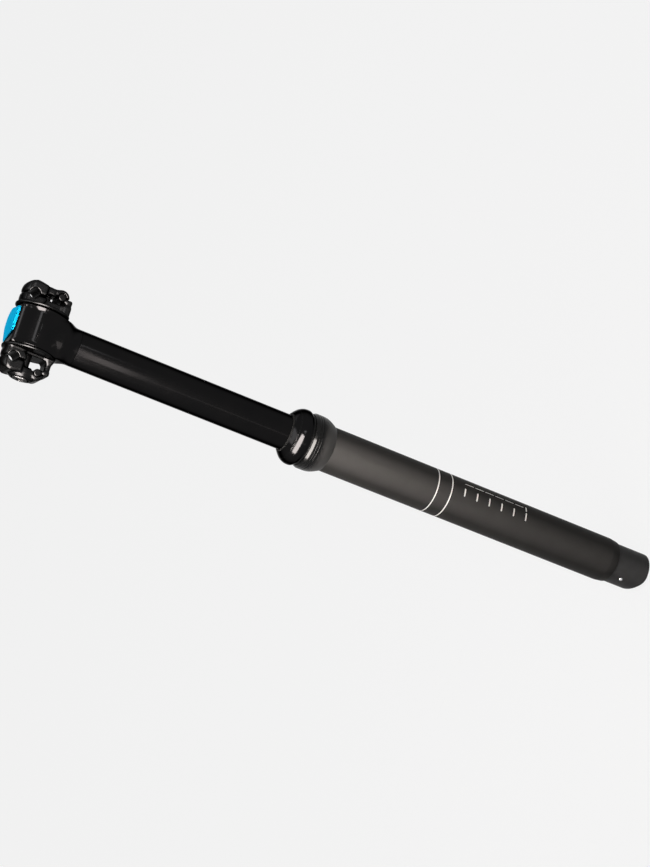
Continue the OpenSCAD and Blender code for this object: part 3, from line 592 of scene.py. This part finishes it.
def make_collar():
    """The bonded collar with a swelling foot and two thin grooves round its ring."""
    high = mm_box("collar_sleeve")[1]
    r = high.x
    foot_r = TUBE_R + COLLAR_FOOT_OUT
    foot = [(foot_r + (r - foot_r) * math.sin(math.pi / 2 * t), COLLAR_FOOT_H * t, COLLAR_FOOT_FAIR)
            for t in np.linspace(0, 1, COLLAR_FOOT_STEPS + 1)[1:]]
    lines = []
    for low_z in COLLAR_LINES:
        floor_r = r - COLLAR_LINE_IN
        high_z = low_z + COLLAR_LINE_W
        lines += [(r, low_z, COLLAR_LINE_EDGE), (floor_r, low_z, COLLAR_LINE_EDGE),
                  (floor_r, high_z, COLLAR_LINE_EDGE), (r, high_z, COLLAR_LINE_EDGE)]
    seat_r = TUBE_R - TUBE_STEP + BOND
    seat_top = TUBE_TOP + BOND
    lip_r = STANCHION_R + COLLAR_LIP_GAP
    lip_top = TUBE_TOP + COLLAR_LIP_H
    stand_for("collar_sleeve", *turned([
        (seat_r, 0, CRISP), (foot_r, 0, 0.25), *foot, *lines, (r, COLLAR_RING_TOP - RING_EDGE_H, 1.5),
        (r - RING_EDGE, COLLAR_RING_TOP, 0.4), (SPIGOT_R, COLLAR_RING_TOP, 0.15),
        (SPIGOT_R, high.z, EASED), (SPIGOT_BORE_R, high.z, EASED), (SPIGOT_BORE_R, lip_top, CRISP),
        (lip_r, lip_top, CRISP), (lip_r, seat_top, CRISP), (seat_r, seat_top, CRISP)]))


def make_wiper():
    """The rubber wiper with a thin standing lip round the stanchion."""
    low, high = mm_box("wiper_seal")
    mouth_top = mm_box("seal_head")[1].z
    inner = STANCHION_R + RUN
    outer = SPIGOT_BORE_R - BOND
    mouth_r = SEAL_MOUTH_R - BOND
    step_z = mouth_top - SEAL_LIP_H - BOND
    stand_for("wiper_seal", *turned([
        (inner, low.z, EASED), (outer, low.z, EASED), (outer, step_z, EASED), (mouth_r, step_z, CRISP),
        (mouth_r, mouth_top, 0.3), (inner + WIPER_LIP_W, high.z, 0.15), (inner, high.z, CRISP)]))


def make_stanchion():
    """The sliding tube with its three key pockets, which stay inside the lower tube."""
    low, high = mm_box("stanchion")
    keys_low, keys_high = mm_box("guide_keys")
    bore_r = STANCHION_R - STANCHION_WALL
    pocket_z = (keys_low.z, keys_low.z + POCKET_END, keys_high.z - POCKET_END, keys_high.z)
    pocket = [(STANCHION_R, z, 0.02) for z in pocket_z]

    def cut_keys(radius, z, angle):
        """Sink the keys' pockets into the outer face."""
        outside = radius > STANCHION_R - POCKET_END
        along = (z > keys_low.z + POCKET_END / 2) & (z < keys_high.z - POCKET_END / 2)
        in_key = np.abs(from_key(angle)) < KEY_GROOVE_W / 2 / STANCHION_R
        return np.where(outside & along & in_key, STANCHION_R - KEY_SEAT, radius)

    surface = turned([
        (bore_r, low.z, EASED), (STANCHION_R, low.z, 0.6), *pocket, (STANCHION_R, high.z, 0.03),
        (bore_r, high.z, CRISP)], reshape=cut_keys)
    piece = stand_for("stanchion", *surface, sharp_deg=TURNED_SHARP)
    piece.data.materials[0] = SOFT_GLOSS


make_tube()
make_seal_head()
make_collar()
make_wiper()
make_stanchion()

# Meshes from distance fields, for forged and moulded pieces


def soft_min(a, b, k):
    """Join two distance fields with a fillet about as wide as k."""
    h = np.clip(0.5 + 0.5 * (b - a) / k, 0, 1)
    return b + (a - b) * h - k * h * (1 - h)


def soft_max(a, b, k):
    """Cut one distance field by another with an edge rounded about as wide as k."""
    return -soft_min(-a, -b, k)


def block(k, *sides):
    """The space inside all the given sides, with rounded edges."""
    inside = sides[0]
    for side in sides[1:]:
        inside = soft_max(inside, side, k)
    return inside


def span(value, low, high):
    """Distance outside an interval."""
    return np.maximum(low - value, value - high)


LEAST_STEEP = 0.2
TINY = 1e-9
DRAW_STEPS = 4
RELAX_ROUNDS = 3


def slopes(field, points, reach=0.01):
    """The field, its unit gradient and its steepness at points."""
    value = field(*points.T)
    rise = np.stack([field(*(points + shift).T) - field(*(points - shift).T)
                     for shift in np.eye(3) * reach], -1) / (2 * reach)
    steep = np.linalg.norm(rise, axis=1, keepdims=True)
    return value, rise / np.maximum(steep, TINY), np.maximum(steep[:, 0], LEAST_STEEP)


def drawn_on(field, points, limit):
    """Move points onto the field's zero surface, each step at most the limit."""
    for _ in range(DRAW_STEPS):
        value, normal, steep = slopes(field, points)
        points = points - np.clip(value / steep, -limit, limit)[:, None] * normal
    return points


def relaxed(points, faces):
    """Even out a mesh: each point moves to the middle of the faces round it."""
    middle = points[faces].mean(axis=1)
    total = np.zeros_like(points)
    count = np.zeros(len(points))
    for corner in range(4):
        np.add.at(total, faces[:, corner], middle)
        np.add.at(count, faces[:, corner], 1)
    return total / np.maximum(count, 1)[:, None]


def field_surface(field, low, high, step):
    """Mesh the zero surface of a distance field by surface nets, in millimetres."""
    axes = [np.arange(a, b + step, step) for a, b in zip(low, high)]
    inside = field(*np.meshgrid(*axes, indexing="ij")) < 0
    shape = np.array(inside.shape) - 1
    filled = np.zeros(shape, int)
    for i, j, k in itertools.product((0, 1), repeat=3):
        filled += inside[i:shape[0] + i, j:shape[1] + j, k:shape[2] + k]
    mixed = (filled > 0) & (filled < 8)
    number = np.full(shape, -1)
    number[mixed] = np.arange(mixed.sum())
    points = np.array(low) + (np.argwhere(mixed) + 0.5) * step
    faces = []
    units = np.eye(3, dtype=int)
    for axis in range(3):
        here = np.take(inside, range(shape[axis]), axis)
        there = np.take(inside, range(1, shape[axis] + 1), axis)
        for leaving in (True, False):
            cells = np.argwhere((here & ~there) if leaving else (~here & there))
            side_a, side_b = units[(axis + 1) % 3], units[(axis + 2) % 3]
            ring = [cells - side_a - side_b, cells - side_b, cells, cells - side_a]
            quad = np.stack([number[tuple(cell.T)] for cell in ring], -1)
            faces.append(quad if leaving else quad[:, ::-1])
    faces = np.concatenate(faces)
    points = drawn_on(field, points, step)
    for _ in range(RELAX_ROUNDS):
        points = drawn_on(field, relaxed(points, faces), step)
    return points, faces, slopes(field, points)[1]


def mirrored(surface):
    """The same surface on the other side of the plane y = 0."""
    points, faces, normals = surface
    flip = np.array([1, -1, 1])
    return points * flip, faces[:, ::-1], normals * flip


# Sizes of the head and the clamp, in millimetres, heights taken from the bolt
JOINT = {joint["name"]: joint for joint in frame["joints"]}
MOUNT = {mount["name"]: mount for mount in frame["record"]["mounts"]}
RAIL = MOUNT["saddle_rail_right"]
BOLT_Z = JOINT["saddle_tilt"]["pos_m"][2] / MM
RAIL_Y = RAIL["pos_m"][1] / MM
RAIL_H = RAIL["pos_m"][2] / MM - BOLT_Z
RAIL_R = RAIL["dims"]["r_mm"]
FREE = 0.3
HOLE_EDGE = 0.4
RAIL_EDGE = 0.5
DISC_IN = mm_box("inner_clamp_right")[0].y
DISC_R = mm_box("inner_clamp_right")[1].x
DISC_WIDTH = 1.6
DISC_OUT = DISC_IN + DISC_WIDTH
NECK_Z = mm_box("stanchion")[1].z - BOLT_Z
NECK_RING_H = 2.0
SHOULDER_R = mm_box("forged_head")[1].y
SHOULDER_GAP = 0.5
SHOULDER_Z = -DISC_R - SHOULDER_GAP
BARREL_R = 17.0
BARREL_HALF = DISC_IN - FREE
BARREL_CHAMFER = 0.8
BARREL_WAIST_R = 16.0
BARREL_FLARE = 3.5
# Shares that bring the fields of sloping walls down to distances
WALL_SHARE = 0.85
FLARE_SHARE = 0.8
FLARE_LIMIT = 1.6
FLAT_H = mm_box("head_cover")[0].z - BOLT_Z
PEDESTAL_RIM = 0.4
SPIGOT_LOW = mm_box("forged_head")[0].z - BOLT_Z
HEAD_SPIGOT_IN = 2.05
COVER_LEN = 20.0
COVER_FRONT_W = 16.0
COVER_BACK_W = 25.0
COVER_LEVEL_W = 9.0
COVER_SIDE_H = 0.7
COVER_SHIFT = 2.5
CYLINDER_R = mm_box("cartridge_cylinder")[1].x
SOCKET_TOP = mm_box("gas_plug")[1].z - BOLT_Z
BOLT_HOLE_R = 3.3
JAW_R = 8.8
JAW_HALF = mm_box("outer_clamp_right")[1].x
CLAMP_R = 17.0
CLAMP_NARROW_H = 2.5
WAIST_HALF = 8.0
CRADLE_IN = 1
CRADLE_FLOOR = 3.5
RIB_IN = 1
RIB_H = 1.4
LEFT_RIB_OUT = DISC_OUT + RIB_H
RIGHT_RIB_OUT = RAIL_Y - 2 * FREE
FOOT_RISE = 2.4
FOOT_GAP = 1
HEEL_R = 2.6
HEEL_Y = mm_box("inner_clamp_right")[1].y - HEEL_R
HEEL_DROP = 8.1
HOOK_WALL = 2.2
HOOK_R = HEEL_R + FREE + HOOK_WALL
BODY_REACH = 8.1
BODY_WIDTH = 5.1
BODY_OUT = RAIL_Y + BODY_REACH
BODY_IN = BODY_OUT - BODY_WIDTH
BOSS_R = 8.0
BOSS_H = 2.5
BOSS_OUT = BODY_OUT + BOSS_H
BOLT_SEAT_DEPTH = 2.5
BOLT_SEAT = BODY_OUT - BOLT_SEAT_DEPTH
NUT_SEAT_DEPTH = 3.5
NUT_SEAT = BODY_OUT - NUT_SEAT_DEPTH
NUT_R = mm_box("barrel_nut")[1].x
WASHER_ROOM_R = 6.0


def head_field(x, y, z):
    """The forged head: barrel with polished chamfers, flared neck, flat top and spigot."""
    around = np.hypot(x, z)
    out = np.hypot(x, y)
    swell = np.clip((np.abs(y) - BARREL_HALF) / BARREL_FLARE + 1, 0, 1)
    wall = BARREL_WAIST_R + (BARREL_R - BARREL_WAIST_R) * swell * swell
    chamfer = (around + np.abs(y) - BARREL_R - BARREL_HALF + BARREL_CHAMFER) / math.sqrt(2)
    barrel = block(0.5, (around - wall) * WALL_SHARE, np.abs(y) - BARREL_HALF, chamfer)
    flare_z = NECK_Z + NECK_RING_H
    t = np.clip((z - flare_z) / (SHOULDER_Z - flare_z), 0, FLARE_LIMIT)
    flare = (out - STANCHION_R - (SHOULDER_R - STANCHION_R) * t * t) * FLARE_SHARE
    sides = np.abs(y) - BARREL_HALF + FREE
    neck = soft_max(soft_max(flare, out - SHOULDER_R, 2.5), sides, 1.0)
    body = soft_min(np.maximum(neck, z), barrel, 3.0)
    pedestal = block(1.6, np.abs(x) - COVER_LEN / 2 - PEDESTAL_RIM, sides, span(z, 0, FLAT_H))
    body = soft_min(body, pedestal, 2.0)
    body = np.maximum(soft_max(body, z - FLAT_H, 0.5), NECK_Z - z)
    spigot = block(0.6, out - STANCHION_R + HEAD_SPIGOT_IN, span(z, SPIGOT_LOW, flare_z))
    body = np.minimum(body, spigot)
    socket = np.maximum(out - CYLINDER_R - BOND, z - SOCKET_TOP)
    return soft_max(soft_max(body, -socket, HOLE_EDGE), BOLT_HOLE_R - around, HOLE_EDGE)


def inner_clamp_field(x, y, z, rib_out):
    """Disc, rib, rail cradle and the foot with the heel pin, on the +Y side."""
    around = np.hypot(x, z)
    rail = np.hypot(y - RAIL_Y, z - RAIL_H)
    sides = np.abs(x) - (WAIST_HALF - RIB_IN)
    low = FOOT_RISE - DISC_R
    foot_top = -HEEL_DROP - HEEL_R - FOOT_GAP
    foot_out = HEEL_Y - FREE
    rib_top = RAIL_H - RAIL_R - CRADLE_FLOOR
    disc = block(0.7, around - DISC_R, span(y, DISC_IN, DISC_OUT))
    cradle = block(1.8, rail - JAW_R, span(y, DISC_IN, RAIL_Y - FREE), np.abs(x) - JAW_HALF + CRADLE_IN,
                   around - CLAMP_R)
    rib = block(1.4, sides, span(y, DISC_IN, rib_out), span(z, low, rib_top))
    foot = block(1.8, sides, span(y, DISC_IN, foot_out), span(z, low, foot_top))
    web = block(1.2, sides, span(y, HEEL_Y - HEEL_R, foot_out), span(z, low, -HEEL_DROP))
    pin = block(1.0, np.hypot(y - HEEL_Y, z + HEEL_DROP) - HEEL_R, np.abs(x) - WAIST_HALF)
    body = soft_min(soft_min(rib, foot, 3.0), web, 1.5)
    body = soft_min(soft_min(body, disc, 1.2), cradle, 1.6)
    body = soft_min(body, pin, 0.8)
    body = np.maximum(body, DISC_IN - y)
    return soft_max(soft_max(body, RAIL_R - rail, RAIL_EDGE), BOLT_HOLE_R - around, HOLE_EDGE)


def outer_clamp_field(x, y, z, boss_out, seat, seat_r):
    """Rail jaw, body and the hook over the heel pin, on the +Y side."""
    around = np.hypot(x, z)
    rail = np.hypot(y - RAIL_Y, z - RAIL_H)
    heel = np.hypot(y - HEEL_Y, z + HEEL_DROP)
    hook_in = HEEL_Y + FREE
    jaw = soft_max(rail - JAW_R, RAIL_Y + FREE - y, 0.8)
    body = block(1.0, span(y, BODY_IN, BODY_OUT), span(z, -HEEL_DROP / 2, RAIL_H))
    back = block(0.8, span(y, hook_in, BODY_OUT), span(z, -HEEL_DROP, RAIL_H))
    hook = soft_max(heel - HOOK_R, hook_in - y, 0.8)
    side = soft_min(soft_min(soft_min(body, back, 0.8), jaw, 2.5), hook, 1.8)
    narrow = np.clip((RAIL_H - JAW_R + CLAMP_NARROW_H - z) / CLAMP_NARROW_H, 0, 1)
    reach = JAW_HALF + (WAIST_HALF - JAW_HALF) * narrow * narrow * (3 - 2 * narrow)
    shape = block(2.2, side, np.abs(x) - reach, around - CLAMP_R)
    if boss_out > BODY_OUT:
        boss = block(1.6, around - BOSS_R, span(y, hook_in, boss_out))
        shape = soft_min(shape, boss, 1.6)
    shape = soft_max(soft_max(shape, RAIL_R - rail, RAIL_EDGE), HEEL_R + FREE - heel, HOLE_EDGE)
    seat_hole = np.maximum(around - seat_r, seat - y)
    return soft_max(soft_max(shape, BOLT_HOLE_R - around, HOLE_EDGE), -seat_hole, HOLE_EDGE)


def left_inner_field(x, y, z):
    """The left inner clamp, with its low rib, before it is mirrored."""
    return inner_clamp_field(x, y, z, LEFT_RIB_OUT)


def right_inner_field(x, y, z):
    """The right inner clamp, with its deep rib."""
    return inner_clamp_field(x, y, z, RIGHT_RIB_OUT)


def right_clamp_field(x, y, z):
    """The right outer clamp, which holds the nut."""
    return outer_clamp_field(x, y, z, BODY_OUT, NUT_SEAT, NUT_R + BOND)


def left_clamp_field(x, y, z):
    """The left outer clamp, with a boss for the bolt's head, before it is mirrored."""
    return outer_clamp_field(x, y, z, BOSS_OUT, BOLT_SEAT, WASHER_ROOM_R)


def cover_field(x, y, z):
    """The cover: narrow in front and wide behind, level in the middle, its sides falling away."""
    half = COVER_LEN / 2
    lean = (COVER_BACK_W - COVER_FRONT_W) / 2 / COVER_LEN
    middle = COVER_SHIFT * (x + half) / COVER_LEN
    side = (np.abs(y - middle) - COVER_FRONT_W / 2 - (half - x) * lean) / math.hypot(1, lean)
    top = mm_box("head_cover")[1].z - BOLT_Z
    fall = (top - FLAT_H - COVER_SIDE_H) / (COVER_BACK_W / 2 - COVER_LEVEL_W / 2)
    slope = (z - top + (np.abs(y - COVER_SHIFT) - COVER_LEVEL_W / 2) * fall) / math.hypot(1, fall)
    plan = block(2.2, side, np.abs(x) - half)
    return block(0.5, soft_max(plan, slope, 0.7), z - top, FLAT_H - z)


FIELD_MARGIN = 0.8


def field_box(node):
    """The corners of a node's box with a margin, heights taken from the bolt."""
    low, high = mm_box(node)
    lift = Vector((0, 0, BOLT_Z))
    edge = Vector((FIELD_MARGIN, FIELD_MARGIN, FIELD_MARGIN))
    return low - lift - edge, high - lift + edge


def lifted(surface):
    """The same surface with heights taken from the part's origin."""
    points, faces, normals = surface
    return points + np.array([0, 0, BOLT_Z]), faces, normals


HEAD_STEP = 0.4
CLAMP_STEP = 0.36
COVER_STEP = 0.3


def make_head():
    """The head, its cover and the four clamps."""
    stand_for("forged_head", *lifted(field_surface(head_field, *field_box("forged_head"), HEAD_STEP)))
    stand_for("head_cover", *lifted(field_surface(cover_field, *field_box("head_cover"), COVER_STEP)))
    inner_box = field_box("inner_clamp_right")
    stand_for("inner_clamp_right", *lifted(field_surface(right_inner_field, *inner_box, CLAMP_STEP)))
    left_inner = lifted(field_surface(left_inner_field, *inner_box, CLAMP_STEP))
    stand_for("inner_clamp_left", *mirrored(left_inner))
    right_box = field_box("outer_clamp_right")
    right = lifted(field_surface(right_clamp_field, *right_box, CLAMP_STEP))
    stand_for("outer_clamp_right", *right)
    left_box = (right_box[0], right_box[1] + Vector((0, BOSS_OUT - BODY_OUT, 0)))
    left = lifted(field_surface(left_clamp_field, *left_box, CLAMP_STEP))
    stand_for("outer_clamp_left", *mirrored(left))


make_head()

# The clamp's bolt, washer and nut, turned about the bolt's axis
ALONG_LEFT = ((1, 0, 0), (0, 0, 1), (0, -1, 0))
ALONG_RIGHT = ((-1, 0, 0), (0, 0, 1), (0, 1, 0))
BOLT_PLACE = (0, 0, BOLT_Z)
BOLT_R = 3.0
BOLT_TIP_IN = 0.5
BOLT_TIP_H = 0.6
BOLT_HEAD_R = 5.0
BOLT_HEAD_EDGE = 0.5
SOCKET_R = 2.9
SOCKET_H = 2.6
SOCKET_EDGE = 0.1
THREAD_PITCH = 1.0
THREAD_DEPTH = 0.6
THREAD_LEN = 14.0
THREAD_STEPS = 8
NUT_EDGE_IN = 0.4
NUT_EDGE_OUT = 0.6
NUT_MOUTH_W = 0.5
NUT_MOUTH_H = 0.4
KNURLS = 36
KNURL_DEPTH = 0.22
BOLT_SHARP = 30
# Points that belong to the thread, the socket, the head's rim and the nut's rim lie within these limits
THREAD_CORE_R = 1
SOCKET_NEAR_Z, SOCKET_NEAR_R = 0.01, 0.15
HEAD_RIM_NEAR, HEAD_RIM_ABOVE = 0.05, 0.3
NUT_RIM_NEAR = 0.02


def knurled(radius, angle):
    """Fine ridges round a rim."""
    return radius - KNURL_DEPTH * np.abs(np.sin(angle * KNURLS / 2))


def make_bolt():
    """The clamp bolt: knurled head with a hexagon socket, shank and threaded tip."""
    low, high = mm_box("clamp_bolt")
    tip = -high.y
    head_top = -low.y
    head = -mm_box("bolt_washer")[0].y + BOND
    thread_end = tip + THREAD_LEN
    socket_floor = head_top - SOCKET_H
    thread_z = np.arange(tip + BOLT_TIP_H, thread_end, THREAD_PITCH / THREAD_STEPS)
    thread = [(BOLT_R, z, 0.0) for z in thread_z]

    def shape(radius, z, angle):
        """Cut the thread, make the socket a hexagon and knurl the head's rim."""
        turns = z / THREAD_PITCH + angle / (2 * math.pi)
        groove = np.abs((turns % 1.0) * 2 - 1) * THREAD_DEPTH
        runout = np.clip((thread_end - z) / THREAD_PITCH, 0, 1)
        in_thread = (z < thread_end) & (radius > THREAD_CORE_R)
        radius = np.where(in_thread, radius - groove * runout, radius)
        hexagon = SOCKET_R * math.cos(math.pi / 6) / np.cos(angle % (math.pi / 3) - math.pi / 6)
        in_socket = (z > socket_floor - SOCKET_NEAR_Z) & (radius < SOCKET_R + SOCKET_NEAR_R)
        radius = np.where(in_socket, radius * hexagon / SOCKET_R, radius)
        on_rim = (radius > BOLT_HEAD_R - HEAD_RIM_NEAR) & (z > head + HEAD_RIM_ABOVE)
        return np.where(on_rim, knurled(radius, angle), radius)

    surface = turned([
        (0, tip, 0), (BOLT_R - BOLT_TIP_IN, tip, 0.1), *thread, (BOLT_R, head, 0.15),
        (BOLT_HEAD_R, head, 0.2), (BOLT_HEAD_R, head_top - BOLT_HEAD_EDGE, 0.1),
        (BOLT_HEAD_R - BOLT_HEAD_EDGE, head_top, 0.2), (SOCKET_R + SOCKET_EDGE, head_top, 0.05),
        (SOCKET_R, head_top - SOCKET_EDGE, 0.05), (SOCKET_R, socket_floor, 0.05), (0, socket_floor, 0)],
        segments=144, steps=2, reshape=shape)
    stand_for("clamp_bolt", *placed(surface, ALONG_LEFT, BOLT_PLACE), sharp_deg=BOLT_SHARP)


def make_washer_and_nut():
    """The washer under the bolt's head and the knurled nut in the right clamp."""
    hole_r = BOLT_R + RUN
    low, high = mm_box("bolt_washer")
    washer = turned([(hole_r, -high.y, 0.2), (high.x, -high.y, 0.15), (high.x, -low.y, 0.45),
                     (hole_r, -low.y, 0.2)], segments=96)
    stand_for("bolt_washer", *placed(washer, ALONG_LEFT, BOLT_PLACE))
    low, high = mm_box("barrel_nut")

    def shape(radius, z, angle):
        """Knurl the nut's rim."""
        return np.where(radius > high.x - NUT_RIM_NEAR, knurled(radius, angle), radius)

    nut = turned([
        (hole_r, low.y, 0.3), (high.x - NUT_EDGE_IN, low.y, 0.1), (high.x, low.y + NUT_EDGE_IN, 0.05),
        (high.x, high.y - NUT_EDGE_OUT, 0.05), (high.x - NUT_EDGE_OUT, high.y, 0.15),
        (BOLT_R + NUT_MOUTH_W, high.y, 0.05), (hole_r, high.y - NUT_MOUTH_H, 0.05)],
        segments=144, steps=3, reshape=shape)
    stand_for("barrel_nut", *placed(nut, ALONG_RIGHT, BOLT_PLACE), sharp_deg=BOLT_SHARP)


make_bolt()
make_washer_and_nut()

# The cap under the tube, in axes that follow the lever: u towards the cable, v along the pivot
LEVER_AT = Vector(JOINT["lever_pull"]["pos_m"]) / MM
CAP_TURN = math.atan2(LEVER_AT.y, LEVER_AT.x)
PIVOT_OFF = math.hypot(LEVER_AT.x, LEVER_AT.y)
PIVOT_Z = LEVER_AT.z
PIVOT_R = 1.25
CAP_R = 14.2
CAP_END = mm_box("actuator_housing")[0].z
CAP_TOP = mm_box("actuator_housing")[1].z
CAP_SLOPE = math.radians(25)
CAP_PLUG_R = TUBE_R - TUBE_WALL - BOND
CAP_PLUG_WALL = 2.4
CAVITY_R = 11.7
CAVITY_DEPTH = 14.2
CAVITY_LOW = TUBE_END - CAVITY_DEPTH
PLATE_BELOW = 2.0
PLATE_ABOVE = 6.0
PLATE_LOW = TUBE_END - PLATE_BELOW
PLATE_TOP = TUBE_END + PLATE_ABOVE
STUD_R = 3.0
CABLE_ARM = 3.5
CABLE_OFF = PIVOT_OFF + CABLE_ARM
CABLE_R = 2.6
SPOT_RIM = 1.6
SPOT_R = CABLE_R + SPOT_RIM
SPOT_DEPTH = 0.2
SPOT_TOP = CAP_END + (CABLE_OFF + SPOT_R) * math.tan(CAP_SLOPE) + SPOT_DEPTH
# How far holes are cut past a face, so that they open
THROUGH = 1
PIN_PROUD = 0.2
PIN_EDGE = 0.45
CAP_U = (math.cos(CAP_TURN), math.sin(CAP_TURN), 0)
CAP_V = (-math.sin(CAP_TURN), math.cos(CAP_TURN), 0)
CAP_UP = (0, 0, 1)
CAP_AXES = (CAP_U, CAP_V, CAP_UP)
PIN_AXES = (CAP_UP, CAP_U, CAP_V)
CAP_STEP = 0.4


def cap_field(u, v, z):
    """The cap: half of its end is cut at a slant, with the cable's hole in the slanted half."""
    out = np.hypot(u, v)
    cable = np.hypot(u - CABLE_OFF, v)
    pivot = np.hypot(u - PIVOT_OFF, z - PIVOT_Z)
    end = soft_max(CAP_END - z, (CAP_END - z + u * math.tan(CAP_SLOPE)) * math.cos(CAP_SLOPE), 1.5)
    shell = soft_max(block(2.2, out - CAP_R, end), z - TUBE_END, 0.3)
    plug = block(0.6, out - CAP_PLUG_R, span(z, PLATE_LOW, CAP_TOP))
    body = np.minimum(shell, plug)
    cup = np.maximum(out - CAP_PLUG_R + CAP_PLUG_WALL, PLATE_TOP - z)
    cavity = np.maximum(out - CAVITY_R, span(z, CAVITY_LOW, PLATE_LOW))
    stud = np.maximum(out - STUD_R - BOND, span(z, PLATE_LOW - THROUGH, PLATE_TOP + THROUGH))
    bore = np.maximum(cable - CABLE_R, z - CAVITY_LOW - THROUGH)
    spot = np.maximum(cable - SPOT_R, z - SPOT_TOP)
    for hole in (cup, cavity, stud, bore, spot, pivot - PIVOT_R - BOND):
        body = soft_max(body, -hole, 0.35)
    return body


def make_cap():
    """The cap and the bright pivot pin across it."""
    side = CAP_R + FIELD_MARGIN
    low = (-side, -side, CAP_END - FIELD_MARGIN)
    high = (side, side, CAP_TOP + FIELD_MARGIN)
    surface = field_surface(cap_field, low, high, CAP_STEP)
    stand_for("actuator_housing", *placed(surface, CAP_AXES, (0, 0, 0)))
    half = math.sqrt(CAP_R ** 2 - (PIVOT_OFF + PIVOT_R) ** 2) + PIN_PROUD
    pin = turned([(0, -half, 0), (PIVOT_R, -half, PIN_EDGE), (PIVOT_R, half, PIN_EDGE), (0, half, 0)],
                 segments=64)
    stand_for("lever_pivot_pin", *placed(pin, PIN_AXES, LEVER_AT))


make_cap()

# Printed marks on the lower tube: two rings and the insertion scale
PRINT_PROUD = 0.04
PRINT_SUNK = 0.06
PRINT_SHARP = 40
# Where a round end stops, as a share of its reach, so that its tip keeps some width
ROUND_END = 0.97
RING_MARKS = (-81.5, -92.3)
RING_MARK_W = 0.8
TICK_COUNT = 6
TICK_TOP = -102.6
TICK_PITCH = 10.04
TICK_W = 1.0
TICK_FROM, TICK_TO = 1.5, 23.5
LAST_TICK_FROM, LAST_TICK_TO = 28.0, 44.0
SCALE_LINE_AT = 39.5
SCALE_LINE_W = 0.45
DASH_COUNT = 6
DASH_LEN = 7.0
DASH_PITCH = 8.2


def print_strip(name, start, end, width, steps=16):
    """A thin printed stroke with round ends on the tube.

    It runs between two points, each an azimuth in degrees and a height.
    """
    start = np.array([math.radians(start[0]) * TUBE_R, start[1]])
    end = np.array([math.radians(end[0]) * TUBE_R, end[1]])
    length = np.linalg.norm(end - start)
    along = (end - start) / length
    across = np.array([-along[1], along[0]])
    far = (1 - np.cos(np.linspace(0, math.pi, steps))) / 2 * length
    to_end = np.clip(1 - np.minimum(far, length - far) / (width / 2), 0, ROUND_END)
    half = width / 2 * np.sqrt(1 - to_end ** 2)
    points = []
    for s, w in zip(far, half):
        for side, radius in ((w, PRINT_PROUD), (-w, PRINT_PROUD), (-w, -PRINT_SUNK), (w, -PRINT_SUNK)):
            spot = start + along * s + across * side
            r = TUBE_R + radius
            points.append((r * math.cos(spot[0] / TUBE_R), r * math.sin(spot[0] / TUBE_R), spot[1]))
    last = 4 * (steps - 1)
    faces = grid_faces(steps, 4).tolist() + [[3, 2, 1, 0], [last, last + 1, last + 2, last + 3]]
    add_piece(name, points, faces, NODE_BODY["outer_tube"], None, sharp_deg=PRINT_SHARP)


def make_marks():
    """Two rings, six ticks, the last with a stroke beside it, and a dashed line along them."""
    sunk = TUBE_R - PRINT_SUNK
    proud = TUBE_R + PRINT_PROUD
    edge = RING_MARK_W / 2
    for i, z in enumerate(RING_MARKS):
        points, faces, normals = turned([(sunk, z - edge, 0.01), (proud, z - edge, 0.02),
                                         (proud, z + edge, 0.02), (sunk, z + edge, 0.01)], steps=2)
        add_piece("ring_mark_%d" % (i + 1), points, faces, NODE_BODY["outer_tube"], None, normals)
    for i in range(TICK_COUNT):
        z = TICK_TOP - i * TICK_PITCH
        print_strip("scale_tick_%d" % (i + 1), (TICK_FROM, z), (TICK_TO, z), TICK_W)
    last_z = TICK_TOP - (TICK_COUNT - 1) * TICK_PITCH
    print_strip("scale_end", (LAST_TICK_FROM, last_z), (LAST_TICK_TO, last_z), TICK_W)
    for i in range(DASH_COUNT):
        top = TICK_TOP - i * DASH_PITCH
        low = top - DASH_LEN
        print_strip("scale_dash_%d" % (i + 1), (SCALE_LINE_AT, low), (SCALE_LINE_AT, top), SCALE_LINE_W)


make_marks()

bpy.context.scene.view_settings.view_transform = "Standard"
